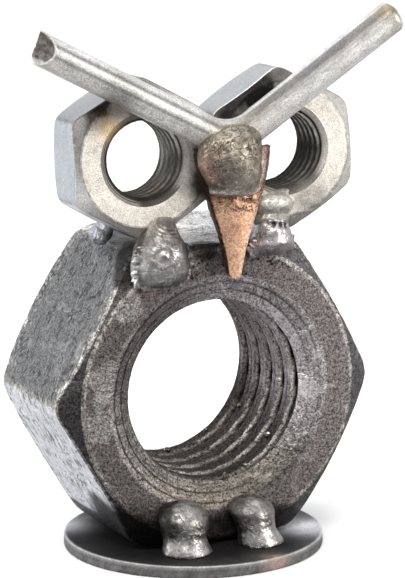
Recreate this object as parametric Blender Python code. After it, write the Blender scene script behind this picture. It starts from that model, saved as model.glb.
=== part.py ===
"""Small owl figure welded together from a big hex nut, two small nuts, a bent rod and a copper beak.

The owl looks towards -Y and stands on a round plate. The origin is on the underside of the plate,
straight below the middle of the big nut. Lengths are in metres, angles in degrees.
"""
import math

import bmesh
import bpy
from mathutils import Matrix, Vector

MM = 0.001

# Room left between neighbouring pieces
GAP = 0.3 * MM

# Round plate that the owl stands on
PLATE_DIAMETER = 31.0 * MM
PLATE_THICKNESS = 1.5 * MM
PLATE_EDGE_ROUNDING = 0.2 * MM
PLATE_SHIFT_X = -0.25 * MM
PLATE_SHIFT_Y = -2.6 * MM

# Big nut that makes the body, bore along Y, one flat down
BODY_ACROSS_FLATS = 36.0 * MM
BODY_ACROSS_CORNERS = 40.6 * MM
BODY_HEIGHT = 19.0 * MM
BODY_FACE_CIRCLE = 34.8 * MM
BODY_BORE = 21.4 * MM
BODY_COUNTERSINK = 27.6 * MM

# Small nuts that make the eyes, one corner down
EYE_ACROSS_FLATS = 17.0 * MM
EYE_ACROSS_CORNERS = 19.1 * MM
EYE_HEIGHT = 8.0 * MM
EYE_FACE_CIRCLE = 15.8 * MM
EYE_BORE = 8.8 * MM
EYE_COUNTERSINK = 10.9 * MM
LEFT_EYE_ROLL = 0.0
RIGHT_EYE_ROLL = -1.75

# Slope of the cones that chamfer the corners and open the bores
CHAMFER_SLOPE = 30.0

# The two eyes and the brow share one frame, turned and leaning back a little
HEAD_YAW = -4.0
HEAD_LEAN = 4.3
HEAD_SHIFT_X = 0.2 * MM
HEAD_SHIFT_Y = -4.8 * MM

# Round rod bent into the brow
ROD_DIAMETER = 3.9 * MM
ROD_BEND_RADIUS = 5.8 * MM
ROD_CORNER_X = 1.1 * MM
ROD_CORNER_Z = 1.4 * MM
ROD_LEFT_LENGTH = 26.2 * MM
ROD_RIGHT_LENGTH = 24.6 * MM
ROD_LEFT_RISE = 28.7
ROD_RIGHT_RISE = 33.1
ROD_CHISEL_ANGLE = 50.0
ROD_DOME_HEIGHT = 0.9 * MM

# Copper beak, a curved tapering strip
BEAK_LENGTH = 15.2 * MM
BEAK_TOP_WIDTH = 9.3 * MM
BEAK_TIP_WIDTH = 1.6 * MM
BEAK_THICKNESS = 1.25 * MM
BEAK_CURVE_RADIUS = 9.0 * MM
BEAK_SHIFT_X = 1.75 * MM
BEAK_TILT = 1.4
BEAK_TOP_HEIGHT = 0.5 * MM

# How much of the beak's widening follows a slow start and a slow finish; the rest is even
BEAK_FLARE = 0.75

# Points closer than this are one point
MERGE_DISTANCE = 1e-7

# How finely round forms are faceted
BODY_SEGMENTS = 72
EYE_SEGMENTS = 48
PLATE_SEGMENTS = 72
ROD_SIDES = 20
ROD_BEND_STEPS = 10
BEAK_ROWS = 14
BEAK_COLUMNS = 8
BEAD_RINGS = 12
BEAD_SIDES = 18

# Power that blends a bead's lobes: a low one gives soft necks
BEAD_BLEND = 6.0

# Weld beads: half the width of each one, and the place of its middle.
# X is in the frame that the bead stands in, the other values are distances from its neighbours.
NOSE_WELD_RADIUS = 3.8 * MM
NOSE_WELD_X = 0.25 * MM
NOSE_WELD_Z = -0.35 * MM
NOSE_WELD_AHEAD_OF_ROD = 1.4 * MM
LEFT_EYE_WELD_RADIUS = 3.25 * MM
LEFT_EYE_WELD_X = -7.45 * MM
LEFT_EYE_WELD_AHEAD = 0.6 * MM
LEFT_EYE_WELD_ABOVE = -0.3 * MM
RIGHT_EYE_WELD_RADIUS = 2.5 * MM
RIGHT_EYE_WELD_X = 7.0 * MM
RIGHT_EYE_WELD_AHEAD = 0.7 * MM
RIGHT_EYE_WELD_ABOVE = 0.9 * MM
BACK_WELD_RADIUS = 2.0 * MM
BACK_WELD_X = -11.6 * MM
BACK_WELD_BEHIND_HEAD = 3.6 * MM
BACK_WELD_ABOVE = 0.9 * MM
FOOT_WELD_RADIUS = 3.0 * MM
FOOT_WELD_AHEAD = 1.6 * MM
FOOT_WELD_ABOVE_PLATE = 2.4 * MM
LEFT_FOOT_WELD_X = -5.75 * MM
RIGHT_FOOT_WELD_X = 3.6 * MM

# Heights that follow from the sizes above
BODY_CENTRE_Z = PLATE_THICKNESS + GAP + BODY_ACROSS_FLATS / 2
BODY_TOP_Z = BODY_CENTRE_Z + BODY_ACROSS_FLATS / 2


def chamfer_depth(across_corners, face_circle):
    """How far the corner chamfer reaches down a nut's corner."""
    return (across_corners - face_circle) / 2 * math.tan(math.radians(CHAMFER_SLOPE))


def head_centre():
    """Middle of the head frame: both small nuts stand with a corner just above the big nut."""
    lean = math.radians(HEAD_LEAN)
    corner_half = EYE_HEIGHT / 2 - chamfer_depth(EYE_ACROSS_CORNERS, EYE_FACE_CIRCLE)
    drop = EYE_ACROSS_CORNERS / 2 * math.cos(lean) + corner_half * math.sin(lean)
    return Vector((HEAD_SHIFT_X, HEAD_SHIFT_Y, BODY_TOP_Z + GAP + drop))


def head_matrix():
    """Frame of the head: turned about Z, then leaning back."""
    turn = Matrix.Rotation(math.radians(HEAD_YAW), 4, "Z")
    lean = Matrix.Rotation(math.radians(-HEAD_LEAN), 4, "X")
    return Matrix.Translation(head_centre()) @ turn @ lean


def eye_offset(roll):
    """Sideways distance of a small nut from the middle, so that the two flats just clear."""
    angle = abs(math.radians(roll))
    half_flat = EYE_ACROSS_FLATS / (2 * math.sqrt(3))
    reach = EYE_ACROSS_FLATS / 2 * math.cos(angle) + half_flat * math.sin(angle)
    return reach + GAP / 2


def make_material(name, colour, roughness, metallic):
    """Plain finish with a colour, a roughness and a metallic value."""
    material = bpy.data.materials.new(name)
    material.use_nodes = True
    shader = material.node_tree.nodes["Principled BSDF"]
    shader.inputs["Base Color"].default_value = (*colour, 1.0)
    shader.inputs["Roughness"].default_value = roughness
    shader.inputs["Metallic"].default_value = metallic
    return material


def finish_bmesh(bm, name):
    """Turn a bmesh into a mesh whose faces point outwards."""
    bmesh.ops.remove_doubles(bm, verts=bm.verts, dist=MERGE_DISTANCE)
    bmesh.ops.recalc_face_normals(bm, faces=bm.faces)
    mesh = bpy.data.meshes.new(name)
    bm.to_mesh(mesh)
    bm.free()
    return mesh


def place(name, mesh, material, matrix=Matrix.Identity(4)):
    """Put a finished mesh in the scene as one named piece."""
    mesh.shade_smooth()
    mesh.set_sharp_from_angle(angle=math.radians(32))
    piece = bpy.data.objects.new(name, mesh)
    piece.data.materials.append(material)
    piece.matrix_world = matrix
    bpy.context.collection.objects.link(piece)
    return piece


def turned(profile, segments, closed):
    """Solid turned about the Y axis from (radius, y) points; a closed profile makes a ring."""
    bm = bmesh.new()
    rings = []
    for radius, y in profile:
        if radius < 1e-9:
            rings.append([bm.verts.new((0.0, y, 0.0))])
            continue
        ring = []
        for index in range(segments):
            angle = math.tau * (index + 0.5) / segments
            ring.append(bm.verts.new((radius * math.cos(angle), y, radius * math.sin(angle))))
        rings.append(ring)
    pairs = list(zip(rings, rings[1:]))
    if closed:
        pairs.append((rings[-1], rings[0]))
    for first, second in pairs:
        for index in range(segments):
            after = (index + 1) % segments
            corners = [first[index % len(first)], first[after % len(first)]]
            corners += [second[after % len(second)], second[index % len(second)]]
            bm.faces.new(list(dict.fromkeys(corners)))
    return bm


def hex_prism(across_flats, height, corner_up):
    """Hexagonal prism along Y, with a corner or a flat at the top."""
    bm = bmesh.new()
    radius = across_flats / math.sqrt(3)
    first_angle = math.pi / 2 if corner_up else 0.0
    rings = []
    for y in (-height / 2, height / 2):
        ring = []
        for index in range(6):
            angle = first_angle + index * math.pi / 3
            ring.append(bm.verts.new((radius * math.cos(angle), y, radius * math.sin(angle))))
        rings.append(ring)
    for index in range(6):
        after = (index + 1) % 6
        bm.faces.new((rings[0][index], rings[0][after], rings[1][after], rings[1][index]))
    bm.faces.new(rings[0])
    bm.faces.new(rings[1])
    return bm


def workpiece(name, mesh, matrix):
    """Object for a cut, enlarged from metres to millimetres so that the cut is exact."""
    enlarge = Matrix.Scale(1 / MM, 4)
    mesh.transform(enlarge)
    piece = bpy.data.objects.new(name, mesh)
    piece.matrix_world = enlarge @ matrix @ enlarge.inverted()
    bpy.context.collection.objects.link(piece)
    return piece


def cutter_object(mesh, matrix):
    """Helper body for a cut, shown as wire and never rendered."""
    cutter = workpiece("cutter", mesh, matrix)
    cutter.hide_render = True
    cutter.display_type = "WIRE"
    return cutter


def largest_part(mesh):
    """Keep only the biggest connected part of a mesh, and drop offcuts."""
    bm = bmesh.new()
    bm.from_mesh(mesh)
    left = set(bm.faces)
    parts = []
    while left:
        stack = [left.pop()]
        part = set(stack)
        while stack:
            for edge in stack.pop().edges:
                for face in edge.link_faces:
                    if face in left:
                        left.remove(face)
                        part.add(face)
                        stack.append(face)
        parts.append(part)
    parts.sort(key=lambda part: sum(face.calc_area() for face in part))
    for part in parts[:-1]:
        bmesh.ops.delete(bm, geom=list(part), context="FACES")
    bmesh.ops.triangulate(bm, faces=bm.faces)
    return finish_bmesh(bm, mesh.name)


def shaped(mesh, matrix, cuts):
    """Mesh left after a row of exact booleans; each cut is (operation, mesh, matrix)."""
    target = workpiece("target", mesh, matrix)
    for operation, cutter_mesh, cutter_matrix in cuts:
        helper = cutter_object(cutter_mesh, cutter_matrix)
        modifier = target.modifiers.new("cut", "BOOLEAN")
        modifier.operation = operation
        modifier.solver = "EXACT"
        modifier.object = helper
        bpy.context.view_layer.update()
        graph = bpy.context.evaluated_depsgraph_get()
        result = bpy.data.meshes.new_from_object(target.evaluated_get(graph))
        target.modifiers.clear()
        target.data = largest_part(result)
        bpy.data.objects.remove(helper)
    result = target.data
    bpy.data.objects.remove(target)
    result.transform(Matrix.Scale(MM, 4))
    return result


def nut_profile(across_corners, height, face_circle, bore, countersink):
    """Closed (radius, y) outline of a nut before its flats are cut."""
    outer = across_corners / 2
    half = height / 2
    shoulder = half - chamfer_depth(across_corners, face_circle)
    throat = half - chamfer_depth(countersink, bore)
    side = [(bore / 2, throat), (countersink / 2, half), (face_circle / 2, half), (outer, shoulder)]
    return side + [(radius, -y) for radius, y in reversed(side)]


def nut_mesh(name, across_flats, across_corners, height, face_circle, bore, countersink, segments, corner_up):
    """Chamfered hex nut with an open bore, axis along Y, centred on the origin."""
    profile = nut_profile(across_corners, height, face_circle, bore, countersink)
    ring = finish_bmesh(turned(profile, segments, closed=True), name)
    prism = finish_bmesh(hex_prism(across_flats, height * 2, corner_up), "flats")
    return shaped(ring, Matrix.Identity(4), [("INTERSECT", prism, Matrix.Identity(4))])


def nut_keepout(across_flats, height, corner_up):
    """Plain hex block that leaves the usual gap all round a nut."""
    return finish_bmesh(hex_prism(across_flats + 2 * GAP, height + 2 * GAP, corner_up), "keepout")


def body_matrix():
    """Place of the big nut."""
    return Matrix.Translation((0.0, 0.0, BODY_CENTRE_Z))


def eye_matrix(side, roll):
    """Place of a small nut; side is -1 for the left one and 1 for the right one."""
    shift = Matrix.Translation((side * eye_offset(roll), 0.0, 0.0))
    return head_matrix() @ shift @ Matrix.Rotation(math.radians(roll), 4, "Y")


def make_plate(material):
    """Round plate with slightly rounded edges."""
    radius = PLATE_DIAMETER / 2
    edge = PLATE_EDGE_ROUNDING
    profile = [(0.0, 0.0), (radius - edge, 0.0), (radius, edge)]
    profile += [(radius, PLATE_THICKNESS - edge), (radius - edge, PLATE_THICKNESS), (0.0, PLATE_THICKNESS)]
    bm = turned(profile, PLATE_SEGMENTS, closed=False)
    upright = Matrix.Translation((PLATE_SHIFT_X, PLATE_SHIFT_Y, 0.0)) @ Matrix.Rotation(math.pi / 2, 4, "X")
    bmesh.ops.transform(bm, matrix=upright, verts=bm.verts)
    return place("base_plate", finish_bmesh(bm, "base_plate"), material)


def make_body(material):
    """Big dark nut."""
    mesh = nut_mesh(
        "body_nut", BODY_ACROSS_FLATS, BODY_ACROSS_CORNERS, BODY_HEIGHT, BODY_FACE_CIRCLE,
        BODY_BORE, BODY_COUNTERSINK, BODY_SEGMENTS, corner_up=False)
    return place("body_nut", mesh, material, body_matrix())


def make_eye(name, side, roll, material):
    """One of the two zinc-plated nuts."""
    mesh = nut_mesh(
        name, EYE_ACROSS_FLATS, EYE_ACROSS_CORNERS, EYE_HEIGHT, EYE_FACE_CIRCLE,
        EYE_BORE, EYE_COUNTERSINK, EYE_SEGMENTS, corner_up=True)
    return place(name, mesh, material, eye_matrix(side, roll))


def rod_depth():
    """Where the rod's centre line lies in front of the middle of the small nuts."""
    return -(EYE_HEIGHT / 2 + GAP + ROD_DIAMETER / 2)


def rod_path():
    """Centre line of the rod in the head frame: left arm, bend, right arm."""
    y = rod_depth()
    corner = Vector((ROD_CORNER_X, y, ROD_CORNER_Z))
    left = Vector((-math.cos(math.radians(ROD_LEFT_RISE)), 0.0, math.sin(math.radians(ROD_LEFT_RISE))))
    right = Vector((math.cos(math.radians(ROD_RIGHT_RISE)), 0.0, math.sin(math.radians(ROD_RIGHT_RISE))))
    half_turn = (math.pi - left.angle(right)) / 2
    setback = ROD_BEND_RADIUS * math.tan(half_turn)
    centre = corner + (left + right).normalized() * (ROD_BEND_RADIUS / math.cos(half_turn))
    start = corner + left * setback - centre
    points = [corner + left * ROD_LEFT_LENGTH]
    for step in range(ROD_BEND_STEPS + 1):
        turn = Matrix.Rotation(-2 * half_turn * step / ROD_BEND_STEPS, 3, "Y")
        points.append(centre + turn @ start)
    points.append(corner + right * ROD_RIGHT_LENGTH)
    return points


def swept(points, radius, sides):
    """Round bar along a path that stays in a plane across Y."""
    bm = bmesh.new()
    rings = []
    for index, point in enumerate(points):
        before = points[max(index - 1, 0)]
        after = points[min(index + 1, len(points) - 1)]
        along = (after - before).normalized()
        across = Vector((0.0, 1.0, 0.0))
        up = along.cross(across)
        ring = []
        for side in range(sides):
            angle = math.tau * side / sides
            offset = across * math.cos(angle) + up * math.sin(angle)
            ring.append(bm.verts.new(point + offset * radius))
        rings.append(ring)
    for first, second in zip(rings, rings[1:]):
        for side in range(sides):
            after = (side + 1) % sides
            bm.faces.new((first[side], first[after], second[after], second[side]))
    bm.faces.new(rings[0])
    bm.faces.new(rings[-1])
    return bm


def slice_end(bm, point, outward):
    """Cut a bar with a plane and close the cut."""
    geometry = bm.verts[:] + bm.edges[:] + bm.faces[:]
    cut = bmesh.ops.bisect_plane(
        bm, geom=geometry, plane_co=point, plane_no=outward, clear_outer=True)
    edges = [item for item in cut["geom_cut"] if isinstance(item, bmesh.types.BMEdge)]
    bmesh.ops.holes_fill(bm, edges=edges)


def make_rod(material):
    """Bent brow rod: its left end is pinched off like a chisel, its right end is a low dome."""
    points = rod_path()
    bm = swept(points, ROD_DIAMETER / 2, ROD_SIDES)
    tip = points[0]
    along = (points[0] - points[1]).normalized()
    forward = Vector((0.0, -1.0, 0.0))
    pinch = math.radians(ROD_CHISEL_ANGLE)
    for side in (1.0, -1.0):
        outward = along * math.sin(pinch) + forward * side * math.cos(pinch)
        slice_end(bm, tip, outward)
    round_end(bm, points[-1], (points[-1] - points[-2]).normalized())
    return place("brow_rod", finish_bmesh(bm, "brow_rod"), material, head_matrix())


def round_end(bm, centre, outward):
    """Turn a bar's flat end into a low dome of two extra rings."""
    flat = [face for face in bm.faces if face.normal.dot(outward) > 0.99]
    flat = [face for face in flat if (face.calc_center_median() - centre).length < ROD_DIAMETER / 2]
    for share, rise in ((0.86, 0.45), (0.5, 0.85), (0.15, 1.0)):
        inset = bmesh.ops.extrude_discrete_faces(bm, faces=flat)
        flat = inset["faces"]
        middle = centre + outward * ROD_DOME_HEIGHT * rise
        for vert in {vert for face in flat for vert in face.verts}:
            flat_offset = vert.co - centre
            flat_offset -= outward * flat_offset.dot(outward)
            vert.co = middle + flat_offset.normalized() * (ROD_DIAMETER / 2 * share)


def rod_keepout():
    """Rod grown by the usual gap, for cutting weld metal clear of it."""
    return finish_bmesh(swept(rod_path(), ROD_DIAMETER / 2 + GAP, ROD_SIDES), "keepout")


def beak_half_width(share):
    """Half the beak's width; share runs from 0 at the rounded tip to 1 at the top."""
    flare = BEAK_FLARE * (3 - 2 * share) * share ** 2 + (1 - BEAK_FLARE) * share
    half_width = (BEAK_TIP_WIDTH + (BEAK_TOP_WIDTH - BEAK_TIP_WIDTH) * flare) / 2
    tip_length = BEAK_TIP_WIDTH / 2 / BEAK_LENGTH
    if share < tip_length:
        half_width *= math.sqrt(max(1 - (1 - share / tip_length) ** 2, 0.02))
    return half_width


def beak_sag(half_width):
    """How far the curved strip falls back at its edges."""
    return BEAK_CURVE_RADIUS - math.sqrt(BEAK_CURVE_RADIUS ** 2 - half_width ** 2)


def beak_frame():
    """Frame of the beak: upright, its ridge line in front of the eyes, z = 0 at its tip."""
    head = head_matrix()
    edge_y = -(EYE_HEIGHT / 2 + GAP + beak_sag(BEAK_TOP_WIDTH / 2))
    top = head @ Vector((BEAK_SHIFT_X, edge_y, BEAK_TOP_HEIGHT))
    turn = Matrix.Rotation(math.radians(HEAD_YAW), 4, "Z") @ Matrix.Rotation(math.radians(BEAK_TILT), 4, "Y")
    return Matrix.Translation(top) @ turn @ Matrix.Translation((0.0, 0.0, -BEAK_LENGTH))


def beak_shell(extra):
    """Curved tapering strip, grown by extra on every side."""
    bm = bmesh.new()
    rows = []
    tip_share = BEAK_TIP_WIDTH / 2 / BEAK_LENGTH
    shares = [0.0, tip_share * 0.3, tip_share * 0.7]
    shares += [tip_share + (1 - tip_share) * row / BEAK_ROWS for row in range(BEAK_ROWS + 1)]
    for share in shares:
        half_width = beak_half_width(share)
        height = BEAK_LENGTH * share + extra * (2 * share - 1)
        back = []
        front = []
        for column in range(BEAK_COLUMNS + 1):
            across = 2 * column / BEAK_COLUMNS - 1
            x = across * (half_width + extra)
            sag = beak_sag(min(abs(across) * half_width, BEAK_CURVE_RADIUS))
            back.append(bm.verts.new((x, sag + extra, height)))
            front.append(bm.verts.new((x, sag - BEAK_THICKNESS - extra, height)))
        rows.append(front + back[::-1])
    count = len(rows[0])
    for lower, upper in zip(rows, rows[1:]):
        for index in range(count):
            after = (index + 1) % count
            bm.faces.new((lower[index], lower[after], upper[after], upper[index]))
    bm.faces.new(rows[0])
    bm.faces.new(rows[-1])
    return bm


def make_beak(material):
    """Copper beak, its top edge notched to clear the underside of the rod."""
    strip = finish_bmesh(beak_shell(0.0), "beak")
    mesh = shaped(strip, beak_frame(), [("DIFFERENCE", rod_keepout(), head_matrix())])
    return place("beak", mesh, material, beak_frame())


def lobe_reach(direction, lobe):
    """Distance from the bead's centre to the far side of an ellipsoid lobe, or zero."""
    centre, radii = lobe
    scaled = Vector([direction[axis] / radii[axis] for axis in range(3)])
    offset = Vector([centre[axis] / radii[axis] for axis in range(3)])
    a = scaled.dot(scaled)
    b = scaled.dot(offset)
    c = offset.dot(offset) - 1.0
    inside = b * b - a * c
    if inside <= 0:
        return 0.0
    return max((b + math.sqrt(inside)) / a, 0.0)


def bead_mesh(name, lobes):
    """Bead of weld metal: ellipsoid lobes blended into one smooth closed skin."""
    bm = bmesh.new()

    def point(polar, turn):
        direction = Vector((math.sin(polar) * math.cos(turn), math.sin(polar) * math.sin(turn), math.cos(polar)))
        total = sum(lobe_reach(direction, lobe) ** BEAD_BLEND for lobe in lobes)
        return direction * total ** (1 / BEAD_BLEND)

    rings = []
    for ring in range(1, BEAD_RINGS):
        polar = math.pi * ring / BEAD_RINGS
        rings.append([bm.verts.new(point(polar, math.tau * side / BEAD_SIDES)) for side in range(BEAD_SIDES)])
    top = bm.verts.new(point(0.0, 0.0))
    bottom = bm.verts.new(point(math.pi, 0.0))
    for side in range(BEAD_SIDES):
        after = (side + 1) % BEAD_SIDES
        bm.faces.new((top, rings[0][side], rings[0][after]))
        bm.faces.new((bottom, rings[-1][after], rings[-1][side]))
        for upper, lower in zip(rings, rings[1:]):
            bm.faces.new((upper[side], lower[side], lower[after], upper[after]))
    return finish_bmesh(bm, name)


def floor_keepout():
    """Block that ends the usual gap above the plate."""
    bm = bmesh.new()
    depth = 10 * MM
    bmesh.ops.create_cube(bm, size=1.0)
    size = Matrix.Diagonal((PLATE_DIAMETER * 2, PLATE_DIAMETER * 2, depth, 1.0))
    drop = Matrix.Translation((0.0, 0.0, PLATE_THICKNESS + GAP - depth / 2))
    bmesh.ops.transform(bm, matrix=drop @ size, verts=bm.verts)
    return finish_bmesh(bm, "keepout")


def make_bead(name, radius, shares, centre, matrix, keepouts, material):
    """Weld bead placed in a frame and cut clear of the pieces that it joins.

    The centre and the radii of each lobe are given as shares of the bead's own radius.
    """
    lobes = [(Vector(middle) * radius, Vector(radii) * radius) for middle, radii in shares]
    place_matrix = matrix @ Matrix.Translation(centre)
    mesh = shaped(bead_mesh(name, lobes), place_matrix, [("DIFFERENCE", *keepout) for keepout in keepouts])
    return place(name, mesh, material, place_matrix)


def make_nose_weld(material):
    """Big drop that holds the brow rod and the beak between the eyes."""
    shares = [((0.0, 0.0, 0.2), (1.0, 0.84, 0.9)), ((0.05, 0.1, -0.5), (0.88, 0.66, 0.72))]
    keepouts = [(rod_keepout(), head_matrix()), (finish_bmesh(beak_shell(GAP), "keepout"), beak_frame())]
    for side, roll in ((-1, LEFT_EYE_ROLL), (1, RIGHT_EYE_ROLL)):
        keepouts.append((nut_keepout(EYE_ACROSS_FLATS, EYE_HEIGHT, True), eye_matrix(side, roll)))
    centre = Vector((NOSE_WELD_X, rod_depth() - NOSE_WELD_AHEAD_OF_ROD, NOSE_WELD_Z))
    return make_bead("nose_weld", NOSE_WELD_RADIUS, shares, centre, head_matrix(), keepouts, material)


def eye_weld_keepouts(side, roll):
    """What a bead under an eye has to stay clear of."""
    return [
        (finish_bmesh(beak_shell(GAP), "keepout"), beak_frame()),
        (nut_keepout(EYE_ACROSS_FLATS, EYE_HEIGHT, True), eye_matrix(side, roll)),
        (nut_keepout(BODY_ACROSS_FLATS, BODY_HEIGHT, False), body_matrix()),
    ]


def make_left_eye_weld(material):
    """Round bead at the front that joins the left eye to the body."""
    shares = [((0.0, 0.0, -0.17), (1.0, 0.93, 0.97)), ((0.03, 0.27, 0.75), (0.84, 0.73, 0.67))]
    centre = Vector((
        LEFT_EYE_WELD_X, -BODY_HEIGHT / 2 - LEFT_EYE_WELD_AHEAD, BODY_TOP_Z + LEFT_EYE_WELD_ABOVE))
    keepouts = eye_weld_keepouts(-1, LEFT_EYE_ROLL)
    return make_bead(
        "left_eye_weld", LEFT_EYE_WELD_RADIUS, shares, centre, Matrix.Identity(4), keepouts, material)


def make_right_eye_weld(material):
    """Two-part bead at the front that joins the right eye to the body."""
    shares = [((-0.12, 0.08, -0.4), (1.0, 0.76, 0.72)), ((0.26, 0.24, 0.8), (1.04, 0.76, 0.78))]
    centre = Vector((
        RIGHT_EYE_WELD_X, -BODY_HEIGHT / 2 - RIGHT_EYE_WELD_AHEAD, BODY_TOP_Z + RIGHT_EYE_WELD_ABOVE))
    keepouts = eye_weld_keepouts(1, RIGHT_EYE_ROLL)
    return make_bead(
        "right_eye_weld", RIGHT_EYE_WELD_RADIUS, shares, centre, Matrix.Identity(4), keepouts, material)


def make_back_weld(material):
    """Small bead behind the left eye, on the top flat of the body."""
    shares = [((0.0, 0.0, 0.0), (0.7, 1.05, 0.7)), ((0.4, -0.15, 0.25), (0.65, 0.8, 0.6))]
    centre = Vector((BACK_WELD_X, HEAD_SHIFT_Y + BACK_WELD_BEHIND_HEAD, BODY_TOP_Z + BACK_WELD_ABOVE))
    keepouts = eye_weld_keepouts(-1, LEFT_EYE_ROLL)
    return make_bead("back_weld", BACK_WELD_RADIUS, shares, centre, Matrix.Identity(4), keepouts, material)


def make_foot(name, x, shares, material):
    """Spool-shaped bead between the front of the body and the plate."""
    centre = Vector((x, -BODY_HEIGHT / 2 - FOOT_WELD_AHEAD, PLATE_THICKNESS + FOOT_WELD_ABOVE_PLATE))
    keepouts = [
        (nut_keepout(BODY_ACROSS_FLATS, BODY_HEIGHT, False), body_matrix()),
        (floor_keepout(), Matrix.Identity(4)),
    ]
    return make_bead(name, FOOT_WELD_RADIUS, shares, centre, Matrix.Identity(4), keepouts, material)


def main():
    """Build the whole figure."""
    for old in list(bpy.data.objects):
        bpy.data.objects.remove(old)
    dark_steel = make_material("dark_steel", (0.13, 0.12, 0.115), 0.5, 0.9)
    plate_steel = make_material("plate_steel", (0.2, 0.2, 0.2), 0.3, 1.0)
    zinc = make_material("zinc", (0.72, 0.7, 0.66), 0.35, 1.0)
    rod_steel = make_material("rod_steel", (0.55, 0.54, 0.52), 0.3, 1.0)
    copper = make_material("copper", (0.75, 0.43, 0.27), 0.45, 1.0)
    weld_metal = make_material("weld_metal", (0.38, 0.35, 0.31), 0.3, 1.0)

    make_plate(plate_steel)
    make_body(dark_steel)
    make_eye("left_eye_nut", -1, LEFT_EYE_ROLL, zinc)
    make_eye("right_eye_nut", 1, RIGHT_EYE_ROLL, zinc)
    make_rod(rod_steel)
    make_beak(copper)
    make_nose_weld(weld_metal)
    make_left_eye_weld(weld_metal)
    make_right_eye_weld(weld_metal)
    make_back_weld(weld_metal)
    left_shares = [
        ((0.05, 0.22, 0.37), (0.97, 0.93, 0.77)), ((0.0, -0.08, -0.13), (0.82, 0.7, 0.7)),
        ((0.0, -0.4, -0.8), (0.95, 0.8, 0.62))]
    right_shares = [
        ((-0.03, 0.22, 0.2), (0.9, 0.9, 0.7)), ((0.04, -0.06, -0.2), (0.77, 0.68, 0.64)),
        ((0.2, -0.33, -0.8), (1.04, 0.8, 0.6))]
    make_foot("left_foot_weld", LEFT_FOOT_WELD_X, left_shares, weld_metal)
    make_foot("right_foot_weld", RIGHT_FOOT_WELD_X, right_shares, weld_metal)


main()
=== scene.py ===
"""Dressed model of a small owl figure welded from hexagon nuts, a bent rod and a copper beak.

Shapes are worked out in millimetres as whole arrays and put into the meshes in metres.
"""
import math
from functools import partial, reduce
from types import SimpleNamespace

import bpy
import numpy as np
from bpy.props import FloatProperty, FloatVectorProperty, PointerProperty
from bpy.types import Operator, Panel, PropertyGroup
from mathutils import Matrix, Vector


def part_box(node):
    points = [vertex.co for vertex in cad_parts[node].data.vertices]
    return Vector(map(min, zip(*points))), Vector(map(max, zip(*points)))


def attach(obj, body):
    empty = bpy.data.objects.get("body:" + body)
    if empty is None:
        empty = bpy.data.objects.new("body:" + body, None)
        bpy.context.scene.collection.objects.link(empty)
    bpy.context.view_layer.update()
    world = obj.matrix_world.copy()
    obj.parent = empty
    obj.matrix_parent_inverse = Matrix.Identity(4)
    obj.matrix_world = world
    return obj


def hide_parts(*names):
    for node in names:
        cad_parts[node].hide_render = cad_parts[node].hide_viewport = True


bl_info = {
    "name": "Welded owl",
    "version": (1, 0, 0),
    "blender": (4, 5, 0),
    "location": "3D View > Sidebar > Owl",
    "description": "Builds a small welded steel owl with threaded nuts, weld beads and a copper beak",
    "category": "Object",
}

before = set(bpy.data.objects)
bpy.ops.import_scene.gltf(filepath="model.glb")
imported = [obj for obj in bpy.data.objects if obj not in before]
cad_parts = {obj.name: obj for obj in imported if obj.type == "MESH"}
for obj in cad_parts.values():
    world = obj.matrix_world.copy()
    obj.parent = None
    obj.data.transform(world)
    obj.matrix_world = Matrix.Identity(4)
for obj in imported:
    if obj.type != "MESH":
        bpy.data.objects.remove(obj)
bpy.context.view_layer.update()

MM = 0.001
TURN = 2 * np.pi

# Pose of the head: the eyes, the brow and the nose weld share one turned, leaning frame
HEAD_YAW = -4.0
HEAD_LEAN = 4.3

# Fitted camera: direction, aim and lens
CAMERA_AZIMUTH = -25.458
CAMERA_ELEVATION = 12.899
CAMERA_ROLL = -0.299
CAMERA_DISTANCE = 466.084
CAMERA_AIM = (2.182, -4.683)
CAMERA_TARGET_Z = 35.2
CAMERA_LENS = 245.3

# Colours that come back in several finishes: near blacks of painted shade, the darker one also for the body's
# dark turning lines
SHADE_DARK = (0.02, 0.018, 0.016)
SHADE_AND_LINE_BLACK = (0.012, 0.01, 0.01)

# How far the floor lies under the plate, in metres
FLOOR_DROP = 0.00002

# Front face of the body, on which the grit lies
FRONT_Y = -9.5

# Rise of a nut's chamfer over its width
CHAMFER = math.tan(math.radians(30))

# Large primes that turn the corner of a cube into a number that looks random
SCATTER = np.array([73856093, 19349663, 83492791])


# Helpers for arrays


def node_centre(name):
    """Middle of a solid of the frame, in millimetres."""
    low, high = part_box(name)
    return (np.array(low) + np.array(high)) / 2 / MM


def turn_matrix(axis, degrees):
    """Rotation about an axis as a 3 by 3 array."""
    return np.array(Matrix.Rotation(math.radians(degrees), 3, axis))


HEAD_TURN = turn_matrix("Z", HEAD_YAW) @ turn_matrix("X", -HEAD_LEAN)
LEFT_EYE_CENTRE = node_centre("left_eye_nut")
RIGHT_EYE_CENTRE = node_centre("right_eye_nut")
BODY_CENTRE = node_centre("body_nut")
PLATE_CENTRE = node_centre("base_plate")


def ease(values, start, end):
    """Soft step from 0 at start to 1 at end, either way round: three t squared less two t cubed."""
    t = np.clip((values - start) / (end - start), 0.0, 1.0)
    return t * t * (3 - 2 * t)


def near(points, place, reach):
    """Closeness to a place, a bell curve: e to the minus square of the distance over the reach."""
    return np.exp(-((points - np.asarray(place, float)) ** 2).sum(-1) / reach ** 2)


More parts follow.
